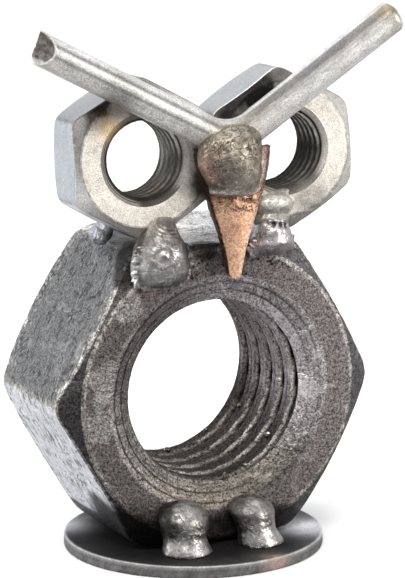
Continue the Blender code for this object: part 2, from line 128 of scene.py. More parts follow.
def lumps(points, cell, seed):
    """Smooth random heights from -1 to 1: values at the corners of cubes, eased between them."""
    scaled = np.asarray(points, float) / cell + seed * 17.31
    base = np.floor(scaled).astype(np.int64)
    part = scaled - base
    part = part * part * (3 - 2 * part)
    total = np.zeros(scaled.shape[:-1])
    for corner in np.ndindex(2, 2, 2):
        cube = base + np.array(corner)
        key = np.bitwise_xor.reduce(cube * SCATTER, axis=-1) ^ (seed + 1) * 2654435
        key = (key ^ (key >> 13)) * 1274126177 & 0xFFFFFFFF
        value = ((key ^ (key >> 16)) & 0xFFFF) / 32767.5 - 1
        weight = np.where(np.array(corner), part, 1 - part).prod(-1)
        total += value * weight
    return total


def rough(points, cell, seed):
    """Three layers of lumps, each half as wide and half as high as the one before."""
    return sum(lumps(points, cell / 2 ** k, seed + k) / 2 ** k for k in range(3)) / 1.75


def bell(values, middle, width):
    """Bell curve: e to the minus square of the distance from the middle over the width."""
    return np.exp(-((values - middle) / width) ** 2)


def window(values, start, full, fade, end):
    """Product of a soft step up from start to full and a soft step down from fade to end."""
    return ease(values, start, full) * ease(values, end, fade)


def spots(points, *places):
    """Closeness to several places added up, each given as x, y, z, reach and strength."""
    return sum(strength * near(points, place, reach) for *place, reach, strength in places)


def paint(tint, *layers):
    """Blend layers of (colour, weight) over a tint, each a move towards its colour by its weight."""
    for colour, weight in layers:
        tint = tint + (np.asarray(colour, float) - tint) * np.clip(weight, 0, 1)[..., None]
    return tint


def paint_marks(tint, points, marks, uneven):
    """Paint soft spots, each (place, reach, colour, strength), times a pattern that makes them uneven."""
    return paint(tint, *((colour, near(points, place, reach) * strength * uneven)
                         for place, reach, colour, strength in marks))


def even_colours(points, colour):
    """The same colour for every point of a grid."""
    return np.broadcast_to(np.asarray(colour, float), points.shape).copy()


def with_marks(tint, marks):
    """Colours with a fourth value, which the finishes read for their wrinkles and marks."""
    return np.concatenate([tint, np.broadcast_to(marks, tint.shape[:2])[..., None]], -1)


def revolve(radius, phi, height):
    """Grid of circles about Z: a radius and a height for each row, an angle for each column."""
    return np.stack([radius * np.cos(phi), radius * np.sin(phi), height * np.ones_like(phi)], -1)


def ball_grid(rows, columns, margin):
    """Directions of a ball as a grid: circles from near one pole to near the other."""
    polar = np.pi * np.linspace(margin, 1 - margin, rows)[:, None]
    return revolve(np.sin(polar), circle(columns), np.cos(polar))


def circle(columns):
    """Angles of a full turn, without the last one."""
    return TURN * np.arange(columns) / columns


def end_poles(points):
    """The middles of a grid's first and last rows."""
    return np.vstack([points[0].mean(0), points[-1].mean(0)])


def faces_volume(flat, faces):
    """Six times the volume that the faces enclose, positive if they point outwards."""
    a, b, c, d = (flat[faces[:, k]] for k in range(4))
    return (np.cross(a, b) * c).sum() + (np.cross(a, c) * d).sum()


# Helpers for meshes


def grid_faces(rows, columns, wrap_rows):
    """Quads of a grid whose columns close on themselves, and whose rows may."""
    row = np.arange(rows if wrap_rows else rows - 1)
    a, b = np.meshgrid(row, np.arange(columns), indexing="ij")
    after_a, after_b = (a + 1) % rows, (b + 1) % columns
    return np.stack([a * columns + b, a * columns + after_b, after_a * columns + after_b,
                     after_a * columns + b], -1).reshape(-1, 4)


def fan_faces(ring, pole, backwards):
    """Triangles, as quads with a doubled corner, from a ring to a pole."""
    after = np.roll(ring, -1)
    first, second = (after, ring) if backwards else (ring, after)
    middle = np.full_like(ring, pole)
    return np.stack([first, second, middle, middle], -1)


def form(points, colours, dulls, wrap_rows=False, poles=None):
    """One closed surface: a grid of points, closed round by its columns and over its rows or two poles."""
    rows, columns = points.shape[:2]
    count = rows * columns
    faces = grid_faces(rows, columns, wrap_rows)
    flat, dull = points.reshape(-1, 3), dulls.reshape(-1)
    tint = (with_marks(colours, 1.0) if colours.shape[-1] == 3 else colours).reshape(count, 4)
    if poles is not None:
        flat = np.vstack([flat, poles])
        tint = np.vstack([tint, tint[:columns].mean(0), tint[-columns:].mean(0)])
        dull = np.concatenate([dull, [dulls[0].mean(), dulls[-1].mean()]])
        ring = np.arange(columns)
        last = ring + count - columns
        faces = np.vstack([faces, fan_faces(ring, count, True), fan_faces(last, count + 1, False)])
    if faces_volume(flat, faces) < 0:
        faces = faces[:, ::-1]
    return flat, faces, tint, dull


def outward_normals(points, wrap_rows):
    """Unit normals of a closed grid: the cross product of its two directions, turned outwards."""
    along = np.roll(points, -1, 0) - np.roll(points, 1, 0)
    if not wrap_rows:
        along[0] = points[1] - points[0]
        along[-1] = points[-1] - points[-2]
    across = np.roll(points, -1, 1) - np.roll(points, 1, 1)
    normal = np.cross(across, along)
    length = np.linalg.norm(normal, axis=-1, keepdims=True)
    centred = points - points.mean((0, 1))
    if wrap_rows:
        outward = np.sign(faces_volume(centred.reshape(-1, 3), grid_faces(*points.shape[:2], True)))
    else:
        outward = np.sign((centred * normal).sum())
    return outward * normal / np.maximum(length, 1e-12)


def fill_mesh(mesh, points, faces):
    """Put points in metres and quads, some with a doubled corner, into an empty mesh."""
    triangle = (faces[:, 2] == faces[:, 3]) | (faces[:, 0] == faces[:, 1])
    quads, thirds = faces[~triangle], faces[triangle]
    thirds = np.where((thirds[:, 2] == thirds[:, 3])[:, None], thirds[:, :3], thirds[:, 1:])
    loops = np.concatenate([quads.ravel(), thirds.ravel()]).astype(np.int32)
    totals = np.repeat([4, 3], [len(quads), len(thirds)]).astype(np.int32)
    mesh.vertices.add(len(points))
    mesh.vertices.foreach_set("co", points.astype(np.float32).ravel())
    mesh.loops.add(len(loops))
    mesh.loops.foreach_set("vertex_index", loops)
    mesh.polygons.add(len(totals))
    mesh.polygons.foreach_set("loop_start", (np.cumsum(totals) - totals).astype(np.int32))
    mesh.polygons.foreach_set("loop_total", totals)
    mesh.update(calc_edges=True)
    mesh.validate()


def add_object(name, data):
    """New object with its data, in the scene."""
    thing = bpy.data.objects.new(name, data)
    bpy.context.scene.collection.objects.link(thing)
    return thing


def make_piece(name, forms, material, nodes=(), sharp=40.0, lay=None):
    """Join forms into one mesh object in metres, give it its finish, and hang it on the frame."""
    points, faces, tints, dulls = zip(*forms)
    starts = np.cumsum([0] + [len(part) for part in points])
    mesh = bpy.data.meshes.new(name)
    fill_mesh(mesh, np.vstack(points) * MM, np.vstack([part + start for part, start in zip(faces, starts)]))
    painted = [("tint", "FLOAT_COLOR", "color", np.clip(np.vstack(tints), 0, 1)),
               ("dull", "FLOAT", "value", np.clip(np.concatenate(dulls), 0, 1))]
    if lay is not None:
        painted.append(("lay", "FLOAT_VECTOR", "vector", lay))
    for label, kind, key, values in painted:
        layer = mesh.attributes.new(label, kind, "POINT")
        layer.data.foreach_set(key, values.astype(np.float32).ravel())
    mesh.shade_smooth()
    mesh.set_sharp_from_angle(angle=math.radians(sharp))
    mesh.materials.append(material)
    piece = add_object(name, mesh)
    if nodes:
        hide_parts(*nodes)
    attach(piece, "root")


# Finishes


class Wiring:
    """Small helper that adds nodes to a tree and links them."""

    def __init__(self, tree):
        self.tree = tree

    def add(self, kind, settings=None, **sockets):
        """New node with its settings and its sockets, by name or as s with a number."""
        node = self.tree.nodes.new(kind)
        for key, value in (settings or {}).items():
            setattr(node, key, value)
        for key, value in sockets.items():
            self.feed(node.inputs[int(key[1:])] if key[1:].isdigit() else node.inputs[key], value)
        return node

    def feed(self, socket, value):
        """Link a node's output to a socket, or set the socket to a plain value."""
        if isinstance(value, bpy.types.NodeSocket):
            self.tree.links.new(value, socket)
        else:
            socket.default_value = value

    def math(self, operation, *values):
        """Result of one sum on one or two values."""
        sockets = {f"s{index}": value for index, value in enumerate(values)}
        return self.add("ShaderNodeMath", {"operation": operation}, **sockets).outputs[0]

    def times(self, first, second):
        """Product of two values."""
        return self.math("MULTIPLY", first, second)

    def sum(self, *values):
        """Values added up."""
        return reduce(lambda total, value: self.math("ADD", total, value), values)

    def ramp(self, value, low, high, start=0.0, end=1.0):
        """Soft change from start to end while the value goes from low to high."""
        return self.add("ShaderNodeMapRange", {"interpolation_type": "SMOOTHSTEP"}, s0=value, s1=low, s2=high,
                        s3=start, s4=end).outputs[0]


class Recipe(Wiring):
    """A material whose sizes are in millimetres and whose patterns read the piece's own coordinates."""

    def __init__(self, name):
        self.material = bpy.data.materials.new(name)
        self.material.use_nodes = True
        super().__init__(self.material.node_tree)
        self.shader = self.tree.nodes["Principled BSDF"]
        self.place = self.add("ShaderNodeTexCoord").outputs["Object"]

    def noise(self, size, detail=3.0, roughness=0.55, stretch=(1, 1, 1), warp=0.0, tilt=0.0):
        """Noise whose grains are about so wide, stretched along axes tilted about Y."""
        spread = self.add("ShaderNodeMapping", {"vector_type": "TEXTURE"}, Vector=self.place, Scale=stretch,
                          Rotation=(0, math.radians(tilt), 0))
        return self.add("ShaderNodeTexNoise", None, Vector=spread.outputs[0], Scale=1 / (size * MM),
                        Detail=detail, Roughness=roughness, Distortion=warp).outputs["Fac"]

    def near_middle(self, value, width):
        """One where a noise is close to its middle value, which draws thin wandering lines."""
        return self.ramp(self.math("ABSOLUTE", self.math("SUBTRACT", value, 0.5)), 0.0, width, 1.0, 0.0)

    def attribute(self, name, output):
        """Colour or value painted on the mesh."""
        return self.add("ShaderNodeAttribute", {"attribute_name": name}).outputs[output]

    def light(self, *steps):
        """Product of soft changes, each a (value, low, high, start, end)."""
        return reduce(self.times, [self.ramp(*step) for step in steps])

    def edge_tint(self, *step):
        """Dim the mirror-like sheen that metal shows at glancing angles, by a soft change."""
        value = self.ramp(*step)
        grey = self.add("ShaderNodeCombineColor", None, s0=value, s1=value, s2=value).outputs[0]
        self.feed(self.shader.inputs["Specular Tint"], grey)

    def finish(self, light, shift, metallic, *relief):
        """Wire up the shader: painted colour shaded by a light, painted roughness moved by a soft change,
        and a relief from rows of (height, depth), one on top of the other.
        """
        shade = self.add("ShaderNodeVectorMath", {"operation": "SCALE"}, s0=self.attribute("tint", "Color"),
                         Scale=light)
        self.feed(self.shader.inputs["Base Color"], shade.outputs[0])
        self.feed(self.shader.inputs["Roughness"], self.sum(self.attribute("dull", "Fac"), self.ramp(*shift)))
        self.feed(self.shader.inputs["Metallic"], metallic)
        below = {}
        for height, depth in relief:
            bump = self.add("ShaderNodeBump", None, Height=height, Distance=depth * MM, Strength=1.0, **below)
            below = {"Normal": bump.outputs[0]}
        self.feed(self.shader.inputs["Normal"], bump.outputs[0])
        return self.material


def mill_scale_finish(settings):
    """Dark, grainy mill scale with worn paler islands, wrinkles, short dashes and fine pits."""
    recipe = Recipe("mill_scale")
    marks = recipe.attribute("tint", "Alpha")
    grain = recipe.noise(0.23, 3.0, 0.8)
    coarse = recipe.noise(0.4, 3.0, 0.7)
    islands = recipe.ramp(recipe.noise(3.4, 5.0, 0.62, warp=1.0), 0.575, 0.6)
    folds = recipe.noise(2.6, 5.0, 0.6, stretch=(1, 1, 1.9), warp=0.9, tilt=20)
    wrinkle = recipe.near_middle(folds, 0.034)
    broken = recipe.ramp(recipe.noise(1.5, 2.0, 0.5), 0.42, 0.56)
    wrinkle = recipe.times(wrinkle, recipe.times(broken, marks))
    smooth = recipe.ramp(marks, 0.85, 0.98)
    short = recipe.noise(0.34, 2.0, 0.5, stretch=(1, 1, 8), warp=0.3, tilt=-30)
    dash = recipe.times(recipe.ramp(short, 0.6, 0.65), smooth)
    pits = recipe.ramp(coarse, 0.26, 0.38)
    light = recipe.sum(recipe.ramp(grain, 0.34, 0.68, 0.3, 1.6), recipe.ramp(coarse, 0.35, 0.7, -0.22, 0.3),
                       recipe.times(islands, 0.42))
    light = recipe.times(light, recipe.ramp(pits, 0.0, 1.0, 0.45, 1.0))
    dimmer = recipe.times(light, recipe.ramp(smooth, 0.0, 1.0, 1.0, 0.45))
    light = recipe.sum(dimmer, recipe.times(smooth, 0.5))
    light = recipe.times(light, recipe.ramp(recipe.sum(wrinkle, dash), 0.0, 1.0, 1.0, 0.2))
    recipe.edge_tint(marks, 0.0, 0.1, 0.15, 1.0)
    return recipe.finish(light, (grain, 0.3, 0.7, -0.06, 0.1), settings.scale_metal, (pits, 0.03),
                         (grain, 0.03), (coarse, 0.08), (islands, 0.03), (wrinkle, -0.18))


def zinc_finish(settings):
    """Warm white zinc plating with a fine sparkle and small stains."""
    recipe = Recipe("zinc_plating")
    grain = recipe.noise(0.16, 3.0, 0.75)
    stains = recipe.noise(1.6, 4.0, 0.6, warp=0.6)
    specks = recipe.ramp(recipe.noise(0.35, 2.0, 0.5), 0.68, 0.74)
    light = recipe.light((grain, 0.3, 0.7, 0.62, 1.24), (stains, 0.3, 0.7, 0.88, 1.05),
                         (specks, 0.0, 1.0, 1.0, 0.5))
    recipe.edge_tint(recipe.attribute("tint", "Alpha"), 0.0, 0.8, 0.15, 1.0)
    return recipe.finish(light, (stains, 0.3, 0.7, -0.05, 0.08), settings.zinc_metal,
                         (grain, 0.02), (stains, 0.05))


def drawn_steel_finish(settings):
    """Bright drawn steel: fine lines along the rod, from its own lengthwise attribute."""
    recipe = Recipe("drawn_steel")
    lines = recipe.add("ShaderNodeTexNoise", None, Vector=recipe.attribute("lay", "Vector"), Scale=9.0,
                       Detail=5.0, Roughness=0.65).outputs["Fac"]
    grain = recipe.noise(0.2, 3.0, 0.7)
    patches = recipe.noise(2.2, 4.0, 0.6, warp=0.8)
    light = recipe.light((lines, 0.3, 0.7, 0.9, 1.08), (grain, 0.3, 0.7, 0.62, 1.26),
                         (patches, 0.35, 0.65, 0.84, 1.05))
    return recipe.finish(light, (lines, 0.3, 0.7, -0.06, 0.1), settings.rod_metal,
                         (lines, 0.02), (grain, 0.015), (patches, 0.05))


def copper_finish(settings):
    """Bare copper with an orange-peel grain and scorched tints."""
    recipe = Recipe("copper")
    grain = recipe.noise(0.28, 3.0, 0.65)
    fine = recipe.noise(0.16, 2.0, 0.7)
    burnt = recipe.attribute("tint", "Alpha")
    crack = recipe.times(recipe.near_middle(recipe.noise(0.75, 3.0, 0.6, warp=1.2), 0.05), burnt)
    light = recipe.light((grain, 0.3, 0.7, 0.66, 1.24), (fine, 0.3, 0.7, 0.82, 1.3),
                         (crack, 0.0, 1.0, 1.0, 0.12))
    return recipe.finish(light, (grain, 0.3, 0.7, -0.05, 0.08), settings.copper_metal,
                         (fine, 0.01), (grain, 0.035), (crack, -0.08))


def weld_finish():
    """Smooth weld metal with faint ripples and soft clouds of tint."""
    recipe = Recipe("weld_metal")
    clouds = recipe.noise(1.3, 3.0, 0.55, warp=0.8)
    grain = recipe.noise(0.24, 3.0, 0.75)
    marks = recipe.attribute("tint", "Alpha")
    wrinkle = recipe.times(recipe.near_middle(recipe.noise(1.1, 4.0, 0.6, warp=1.0), 0.035), marks)
    light = recipe.light((clouds, 0.3, 0.7, 0.84, 1.1), (grain, 0.3, 0.7, 0.76, 1.18),
                         (wrinkle, 0.0, 1.0, 1.0, 0.35))
    return recipe.finish(light, (clouds, 0.3, 0.7, -0.04, 0.1), 1.0,
                         (grain, 0.02), (clouds, 0.035), (wrinkle, -0.1))


def plate_finish(settings):
    """Dark rolled plate, sooty at the feet, with a bright worn rim."""
    recipe = Recipe("plate_steel")
    grain = recipe.noise(0.18, 4.0, 0.7)
    patches = recipe.noise(2.6, 4.0, 0.6, warp=0.8)
    recipe.shader.inputs["Specular IOR Level"].default_value = 0.2
    light = recipe.light((grain, 0.3, 0.7, 0.72, 1.25), (patches, 0.35, 0.65, 0.8, 1.12))
    return recipe.finish(light, (patches, 0.3, 0.7, -0.06, 0.1), settings.plate_metal,
                         (grain, 0.03), (patches, 0.06))


def floor_finish(settings):
    """Plain pale paper-like floor."""
    recipe = Recipe("pale_floor")
    grain = recipe.noise(4, 2.0, 0.5)
    paper = recipe.add("ShaderNodeMix", {"data_type": "RGBA"}, s0=recipe.ramp(grain, 0.3, 0.7, 0.0, 0.1),
                       s6=tuple(settings.floor_colour) + (1.0,), s7=(1.0, 1.0, 1.0, 1.0))
    recipe.feed(recipe.shader.inputs["Base Color"], paper.outputs[2])
    recipe.feed(recipe.shader.inputs["Roughness"], recipe.ramp(grain, 0.0, 1.0, 0.7, 0.8))
    return recipe.material


# Shapes


def rounded_profile(corners, cuts, counts, arc=4):
    """Line through corners with each inner corner replaced by a short quadratic curve.

    corners is [column, corner, 2]; cuts holds how far each rounding starts from its corner. Also
    gives the number of the straight stretch at each point, and one where the point is on a rounding.
    """
    parts, stretch, edge = [], [], []
    last = corners.shape[1] - 1
    step = np.diff(corners, axis=1)
    way = step / np.linalg.norm(step, axis=-1, keepdims=True)
    turning = np.linspace(0, 1, arc + 2)[1:-1]
    for i in range(last):
        start = corners[:, i] + way[:, i] * cuts[i]
        end = corners[:, i + 1] - way[:, i] * cuts[i + 1]
        t = np.linspace(0, 1, counts[i])
        parts.append(start[:, None] + (end - start)[:, None] * t[None, :, None])
        stretch.append(np.full(counts[i], float(i)))
        edge.append(np.zeros(counts[i]))
        if i < last - 1:
            after = corners[:, i + 1] + way[:, i + 1] * cuts[i + 1]
            t = turning[None, :, None]
            middle = corners[:, i + 1][:, None]
            parts.append((1 - t) ** 2 * end[:, None] + 2 * t * (1 - t) * middle + t ** 2 * after[:, None])
            stretch.append(i + turning)
            edge.append(np.ones(arc))
    return np.concatenate(parts, 1), np.concatenate(stretch), np.concatenate(edge)


def hexagon_reach(theta, half_flats, half_corners, corner_up):
    """Distance to a hexagon with rounded corners, and the angle from the nearest flat.

    Half the width over the cosine of the angle from the nearest flat, and the corner radius, joined
    by the sum of their powers of minus eighty.
    """
    first = 0.0 if corner_up else np.pi / 6
    off = (theta - first + np.pi / 6) % (np.pi / 3) - np.pi / 6
    flat = half_flats / np.cos(off)
    return (flat ** -80 + half_corners ** -80) ** (-1 / 80), np.abs(off)


def thread_reach(theta, y, crest, depth, pitch, start):
    """Radius of a right-handed thread: a ridge with a flat top that winds round once per pitch."""
    phase = (y / pitch - theta / TURN + start) % 1.0
    from_crest = np.abs(phase - 0.5) * 2
    return crest + depth * np.clip((from_crest - 0.5) / 0.4, 0, 1)


def nut_shape(sizes, mouth, corner_up, columns, bore_rows, start):
    """Threaded hexagon nut, axis along Y, round its own middle, as a grid that closes both ways.

    Outside: flat face, cone, hexagon flat, cone, flat face. Inside: the wider of the thread and the
    mouth, which is a table of depths and radii. Gives points, and masks of what each point lies on.
    """
    half = sizes.height / 2 / MM
    face, bore = sizes.face_circle / 2 / MM, sizes.bore / 2 / MM
    sink, reach = mouth[0][1], mouth[-1][0]
    pitch, depth = sizes.pitch / MM, sizes.thread_depth / MM
    theta, even = circle(columns), np.ones(columns)
    outer, off = hexagon_reach(theta, sizes.across_flats / 2 / MM, sizes.across_corners / 2 / MM, corner_up)
    chamfer = (outer - face) * CHAMFER
    shoulder = half - chamfer
    corners = np.stack([np.stack(pair, -1) for pair in (
        (even * sink, -half * even), (even * face, -half * even), (outer, -shoulder),
        (outer, shoulder), (even * face, half * even), (even * sink, half * even))], 1)
    cuts = [0] + [sizes.edge_rounding / MM] * 4 + [0]
    outline, stretch, edge = rounded_profile(corners, cuts, [16, 9, 40, 9, 10])
    ends = np.linspace(0, reach, 34)[1:]
    between = np.linspace(half - reach, reach - half, bore_rows)[1:-1]
    y = np.concatenate([half - ends, between, ends[::-1] - half])
    under = half - np.abs(y)
    fade = ease(under, 0.6 * reach, 0.85 * reach)
    thread = thread_reach(theta[:, None], y[None], bore, depth * fade[None], pitch, start)
    inner = np.maximum(thread, np.interp(under, *zip(*mouth))[None])
    radius = np.concatenate([outline[..., 0], inner], 1).T
    height = np.concatenate([outline[..., 1], np.broadcast_to(y, inner.shape)], 1).T
    points = np.stack([radius * np.cos(theta), height, radius * np.sin(theta)], -1)
    kind = np.concatenate([stretch, np.full(len(y), 5.0)])[:, None] * even
    edges = np.concatenate([edge, np.zeros(len(y))])[:, None] * even
    flat = 1.0 * ((kind > 1.6) & (kind < 2.4))
    under = half - np.abs(height)
    return points, SimpleNamespace(
        face=1.0 * ((kind <= 0.5) | ((kind >= 3.5) & (kind < 5))),
        cone=1.0 * (((kind > 0.5) & (kind <= 1.6)) | ((kind >= 2.4) & (kind < 3.5))),
        flat=flat, bore=1.0 * (kind == 5), edge=np.maximum(edges, flat * bell(off, np.pi / 6, 0.03)),
        side=np.round((theta - (0.0 if corner_up else np.pi / 6)) / (np.pi / 3)).astype(int) % 6,
        groove=np.clip((radius - bore) / depth, 0, 1) * (under > reach * 0.7),
        under=under, inset=under - chamfer)


def nut_colours(points, on, face, flats, cone):
    """Base colours of a nut: its faces, each of its six flats and its chamfers."""
    tint = np.where(on.flat[..., None] > 0, np.array(flats)[on.side], even_colours(points, face))
    return np.where(on.cone[..., None] > 0, np.array(cone), tint)


def dent(points, wrap_rows, height):
    """Move each point outwards along its own normal by a height for each point."""
    return points + outward_normals(points, wrap_rows) * np.asarray(height)[..., None]


def body_form(sizes, look):
    """The owl's body: a worn dark nut, with soot and scorch marks round the welds, painted shade in its
    thread, in its mouth and under the left eye, and painted highlights along edges.
    """
    sink, bore = sizes.countersink / 2 / MM, sizes.bore / 2 / MM
    step = sizes.ring_step / MM
    mouth = [(0, sink), (0.2, sink - step), (0.32, sink - step - 0.1), (0.85, sink - 1.95),
             (0.98, sink - 2.1), (1.9, bore + 0.2), (2.4, bore)]
    points, on = nut_shape(sizes, mouth, corner_up=False, columns=372, bore_rows=90, start=0.33)
    theta = np.arctan2(points[..., 2], points[..., 0])
    in_mouth = on.bore * ease(on.under, 2.4, 2.0)
    turned = ease(on.under, 0.5, 0.6)
    chatter = spots(points, (9.4, -9.2, -8.6, 2.6, 1), (2.0, -9.2, -12.4, 3.2, 1))
    lines = 0.012 * np.cos(TURN * on.under / 0.3) + 0.05 * chatter * np.sin(150 * theta + 9 * on.under)
    wobble = 0.05 * rough(points, 5.0, 1) + 0.04 * rough(points, 1.3, 2) - 0.05
    height = wobble * (1 - on.bore) * (1 - 0.6 * on.face) + in_mouth * turned * lines
    height += 0.06 * on.bore * (1 - on.groove) * rough(points, 0.6, 4)
    height -= 0.22 * on.edge * ease(rough(points, 1.1, 3), 0.1, 0.7)
    points = dent(points, True, height) + BODY_CENTRE
    x, y, z = np.moveaxis(points, -1, 0)
    uneven = partial(rough, points)

    worn_edge = on.flat * np.exp(-np.maximum(on.inset, 0) / 1.1) * ease(uneven(0.28, 14), 0.0, 0.35)
    right = on.face * ease(x, 2.0, 13.0) * (0.35 + 0.65 * ease(z, 6.0, 18.0))
    # A painted highlight: a thin pale line round the edge of the face, fainter to the right
    border = on.face * bell(np.hypot(x, z - BODY_CENTRE[2]), 17.1, 0.28) * ease(uneven(0.3, 19), 0.0, 0.3)
    lilac = on.bore * near(points, BODY_CENTRE + [8.6, -8.0, 7.0], 9.5) * (0.95 + 0.3 * uneven(1.5, 7))
    lilac *= (0.4 + 0.6 * ease(on.under, 0.95, 1.05)) * (1 - 0.45 * ease(on.under, 2.0, 2.3))
    wind = TURN * ((y - BODY_CENTRE[1]) * MM / sizes.pitch - 0.17) - theta
    turning = turned * np.maximum(np.cos(3 * wind), 0) ** 3 * (0.25 + 0.75 * ease(on.under, 1.9, 2.2))
    turning *= 0.7 + 0.6 * rough(points * [0.3, 1, 0.3], 0.6, 12)
    # Painted shade in the bore: dark rings in the mouth and dark thread grooves, together with the dark
    # turning lines
    rings = bell(on.under, 0.28, 0.08) + bell(on.under, 0.93, 0.08)
    dark = on.bore * (0.9 * rings + 0.94 * ease(on.groove, 0.3, 0.5) + turning)
    # A painted highlight along the edges of the thread
    edge_line = window(on.groove, 0.02, 0.12, 0.25, 0.4) * on.bore * ease(on.under, 2.0, 2.3)
    # Soot round the welds, and painted shade: under the left eye and where the beak hangs close in front of
    # the face
    soot_and_shade = spots(points, (-5.4, -11, 2.6, 3.8, 1), (3.6, -11, 2.6, 3.8, 1), (-1.0, -9.5, 2.0, 3.0, 0.8),
                 (-2.2, -9.5, 36.3, 2.6, 0.25), (-12.5, -8, 3.0, 4.4, 1.3), (-1.8, -9.2, 37.8, 1.5, 1.5),
                 (-9.8, -6.3, 37.3, 1.9, 1.2), (-12.0, -8.8, 36.0, 2.6, 1.2), (-12.2, -4.0, 5.0, 3.6, 0.9),
                 (8.8, -8.3, 2.6, 2.8, 1.2))
    soot_and_shade += spots(points, (-8.8, 0.0, 37.8, 3.8, 1.4)) * ease(z, 36.9, 37.5)
    soot_and_shade += 1.3 * on.flat * (x < -8) * ease(z, 4.9, 3.7)
    olive = on.bore * ease(z, 13.5, 8.5) * (0.5 + 0.4 * uneven(1.2, 9))
    low = on.bore * ease(z, 20.0, 13.0) * ease(on.under, 1.9, 2.4) * (0.4 + 0.6 * ease(x, -3.0, 4.0))
    below = in_mouth * ease(z, 12.0, 8.0) * (0.6 + 0.5 * uneven(0.8, 13)) * ease(on.under, 0.95, 1.1)
    streak = 0.5 + 0.5 * np.sin(120 * theta + 9 * on.under + 2 * uneven(0.8, 20))
    shadow = in_mouth * spots(points, (5.6, -8.5, 9.6, 4.0, 1), (8.8, -8.2, 12.6, 3.2, 1))
    gleam = spots(points, (10.8, -7.7, 22.2, 5.6, 1), (11.0, -7.1, 17.2, 3.0, 0.3),
                  (0.3, -8.0, 30.7, 4.0, 0.6))
    worn = on.face * spots(points, (-11.8, -9.5, 31.5, 2.0, 1), (-14.3, -9.5, 22.8, 2.4, 1),
                           (-15.2, -9.5, 17.5, 2.0, 1))
    # The lower left flat is painted bright: a painted reflection of the pale floor
    flats = [look.body_flat] * 6
    flats[1], flats[3] = look.body_top, look.body_low_flat_reflection
    tint = paint(
        nut_colours(points, on, look.body_face, flats, look.body_cone),
        (look.body_bore, on.bore),
        ((0.75, 0.73, 0.68), worn_edge * ease(z, 16.0, 21.0)),
        ((0.3, 0.27, 0.265), right * 0.75),
        ((0.15, 0.143, 0.145), on.cone * ease(x, 5.0, 12.0)),
        ((0.62, 0.6, 0.55), on.edge * (0.45 + 0.9 * uneven(0.32, 5))),
        ((0.5, 0.47, 0.45), border * (0.5 - 0.35 * ease(x, 2.0, 9.0))),
        ((1.0, 0.92, 0.96), lilac),
        (SHADE_AND_LINE_BLACK, dark),
        ((0.85, 0.8, 0.76), edge_line * 0.7),
        ((0.01, 0.009, 0.009), ease(soot_and_shade + 0.3 * uneven(1.6, 8), 0.25, 0.75) * 0.92),
        ((0.11, 0.093, 0.055), olive),
        ((0.05, 0.045, 0.04), low * (0.85 - 0.3 * ease(edge_line, 0.1, 0.5))),
        ((0.34, 0.32, 0.3), below * streak * 0.25),
        ((0.07, 0.065, 0.055), ease(shadow + 0.3 * uneven(0.7, 21), 0.1, 0.9) * 0.7),
        ((1.0, 0.93, 0.95), in_mouth * gleam * (0.8 + 0.4 * uneven(0.7, 22)) * 0.75),
        ((0.03, 0.028, 0.025), near(points, (9.8, 6.5, 15.3), 4.0) * on.bore * 0.7),
        ((0.2, 0.2, 0.2), near(points, (1.3, -4.5, 37.7), 2.8) * on.flat * 0.7),
        ((0.36, 0.35, 0.34), ease(worn + 0.35 * uneven(0.9, 10), 0.35, 0.45) * 0.75))
    dull = 0.42 + 0.1 * on.face - 0.1 * on.bore + 0.05 * uneven(2.0, 6)
    flat_marks = np.where(on.side == 3, 1.0, 0.8)[None] * on.flat
    marks = np.maximum(flat_marks, 0.15) * (1 - on.bore) + 0.05 * edge_line
    return form(points, with_marks(tint, marks), dull, wrap_rows=True)


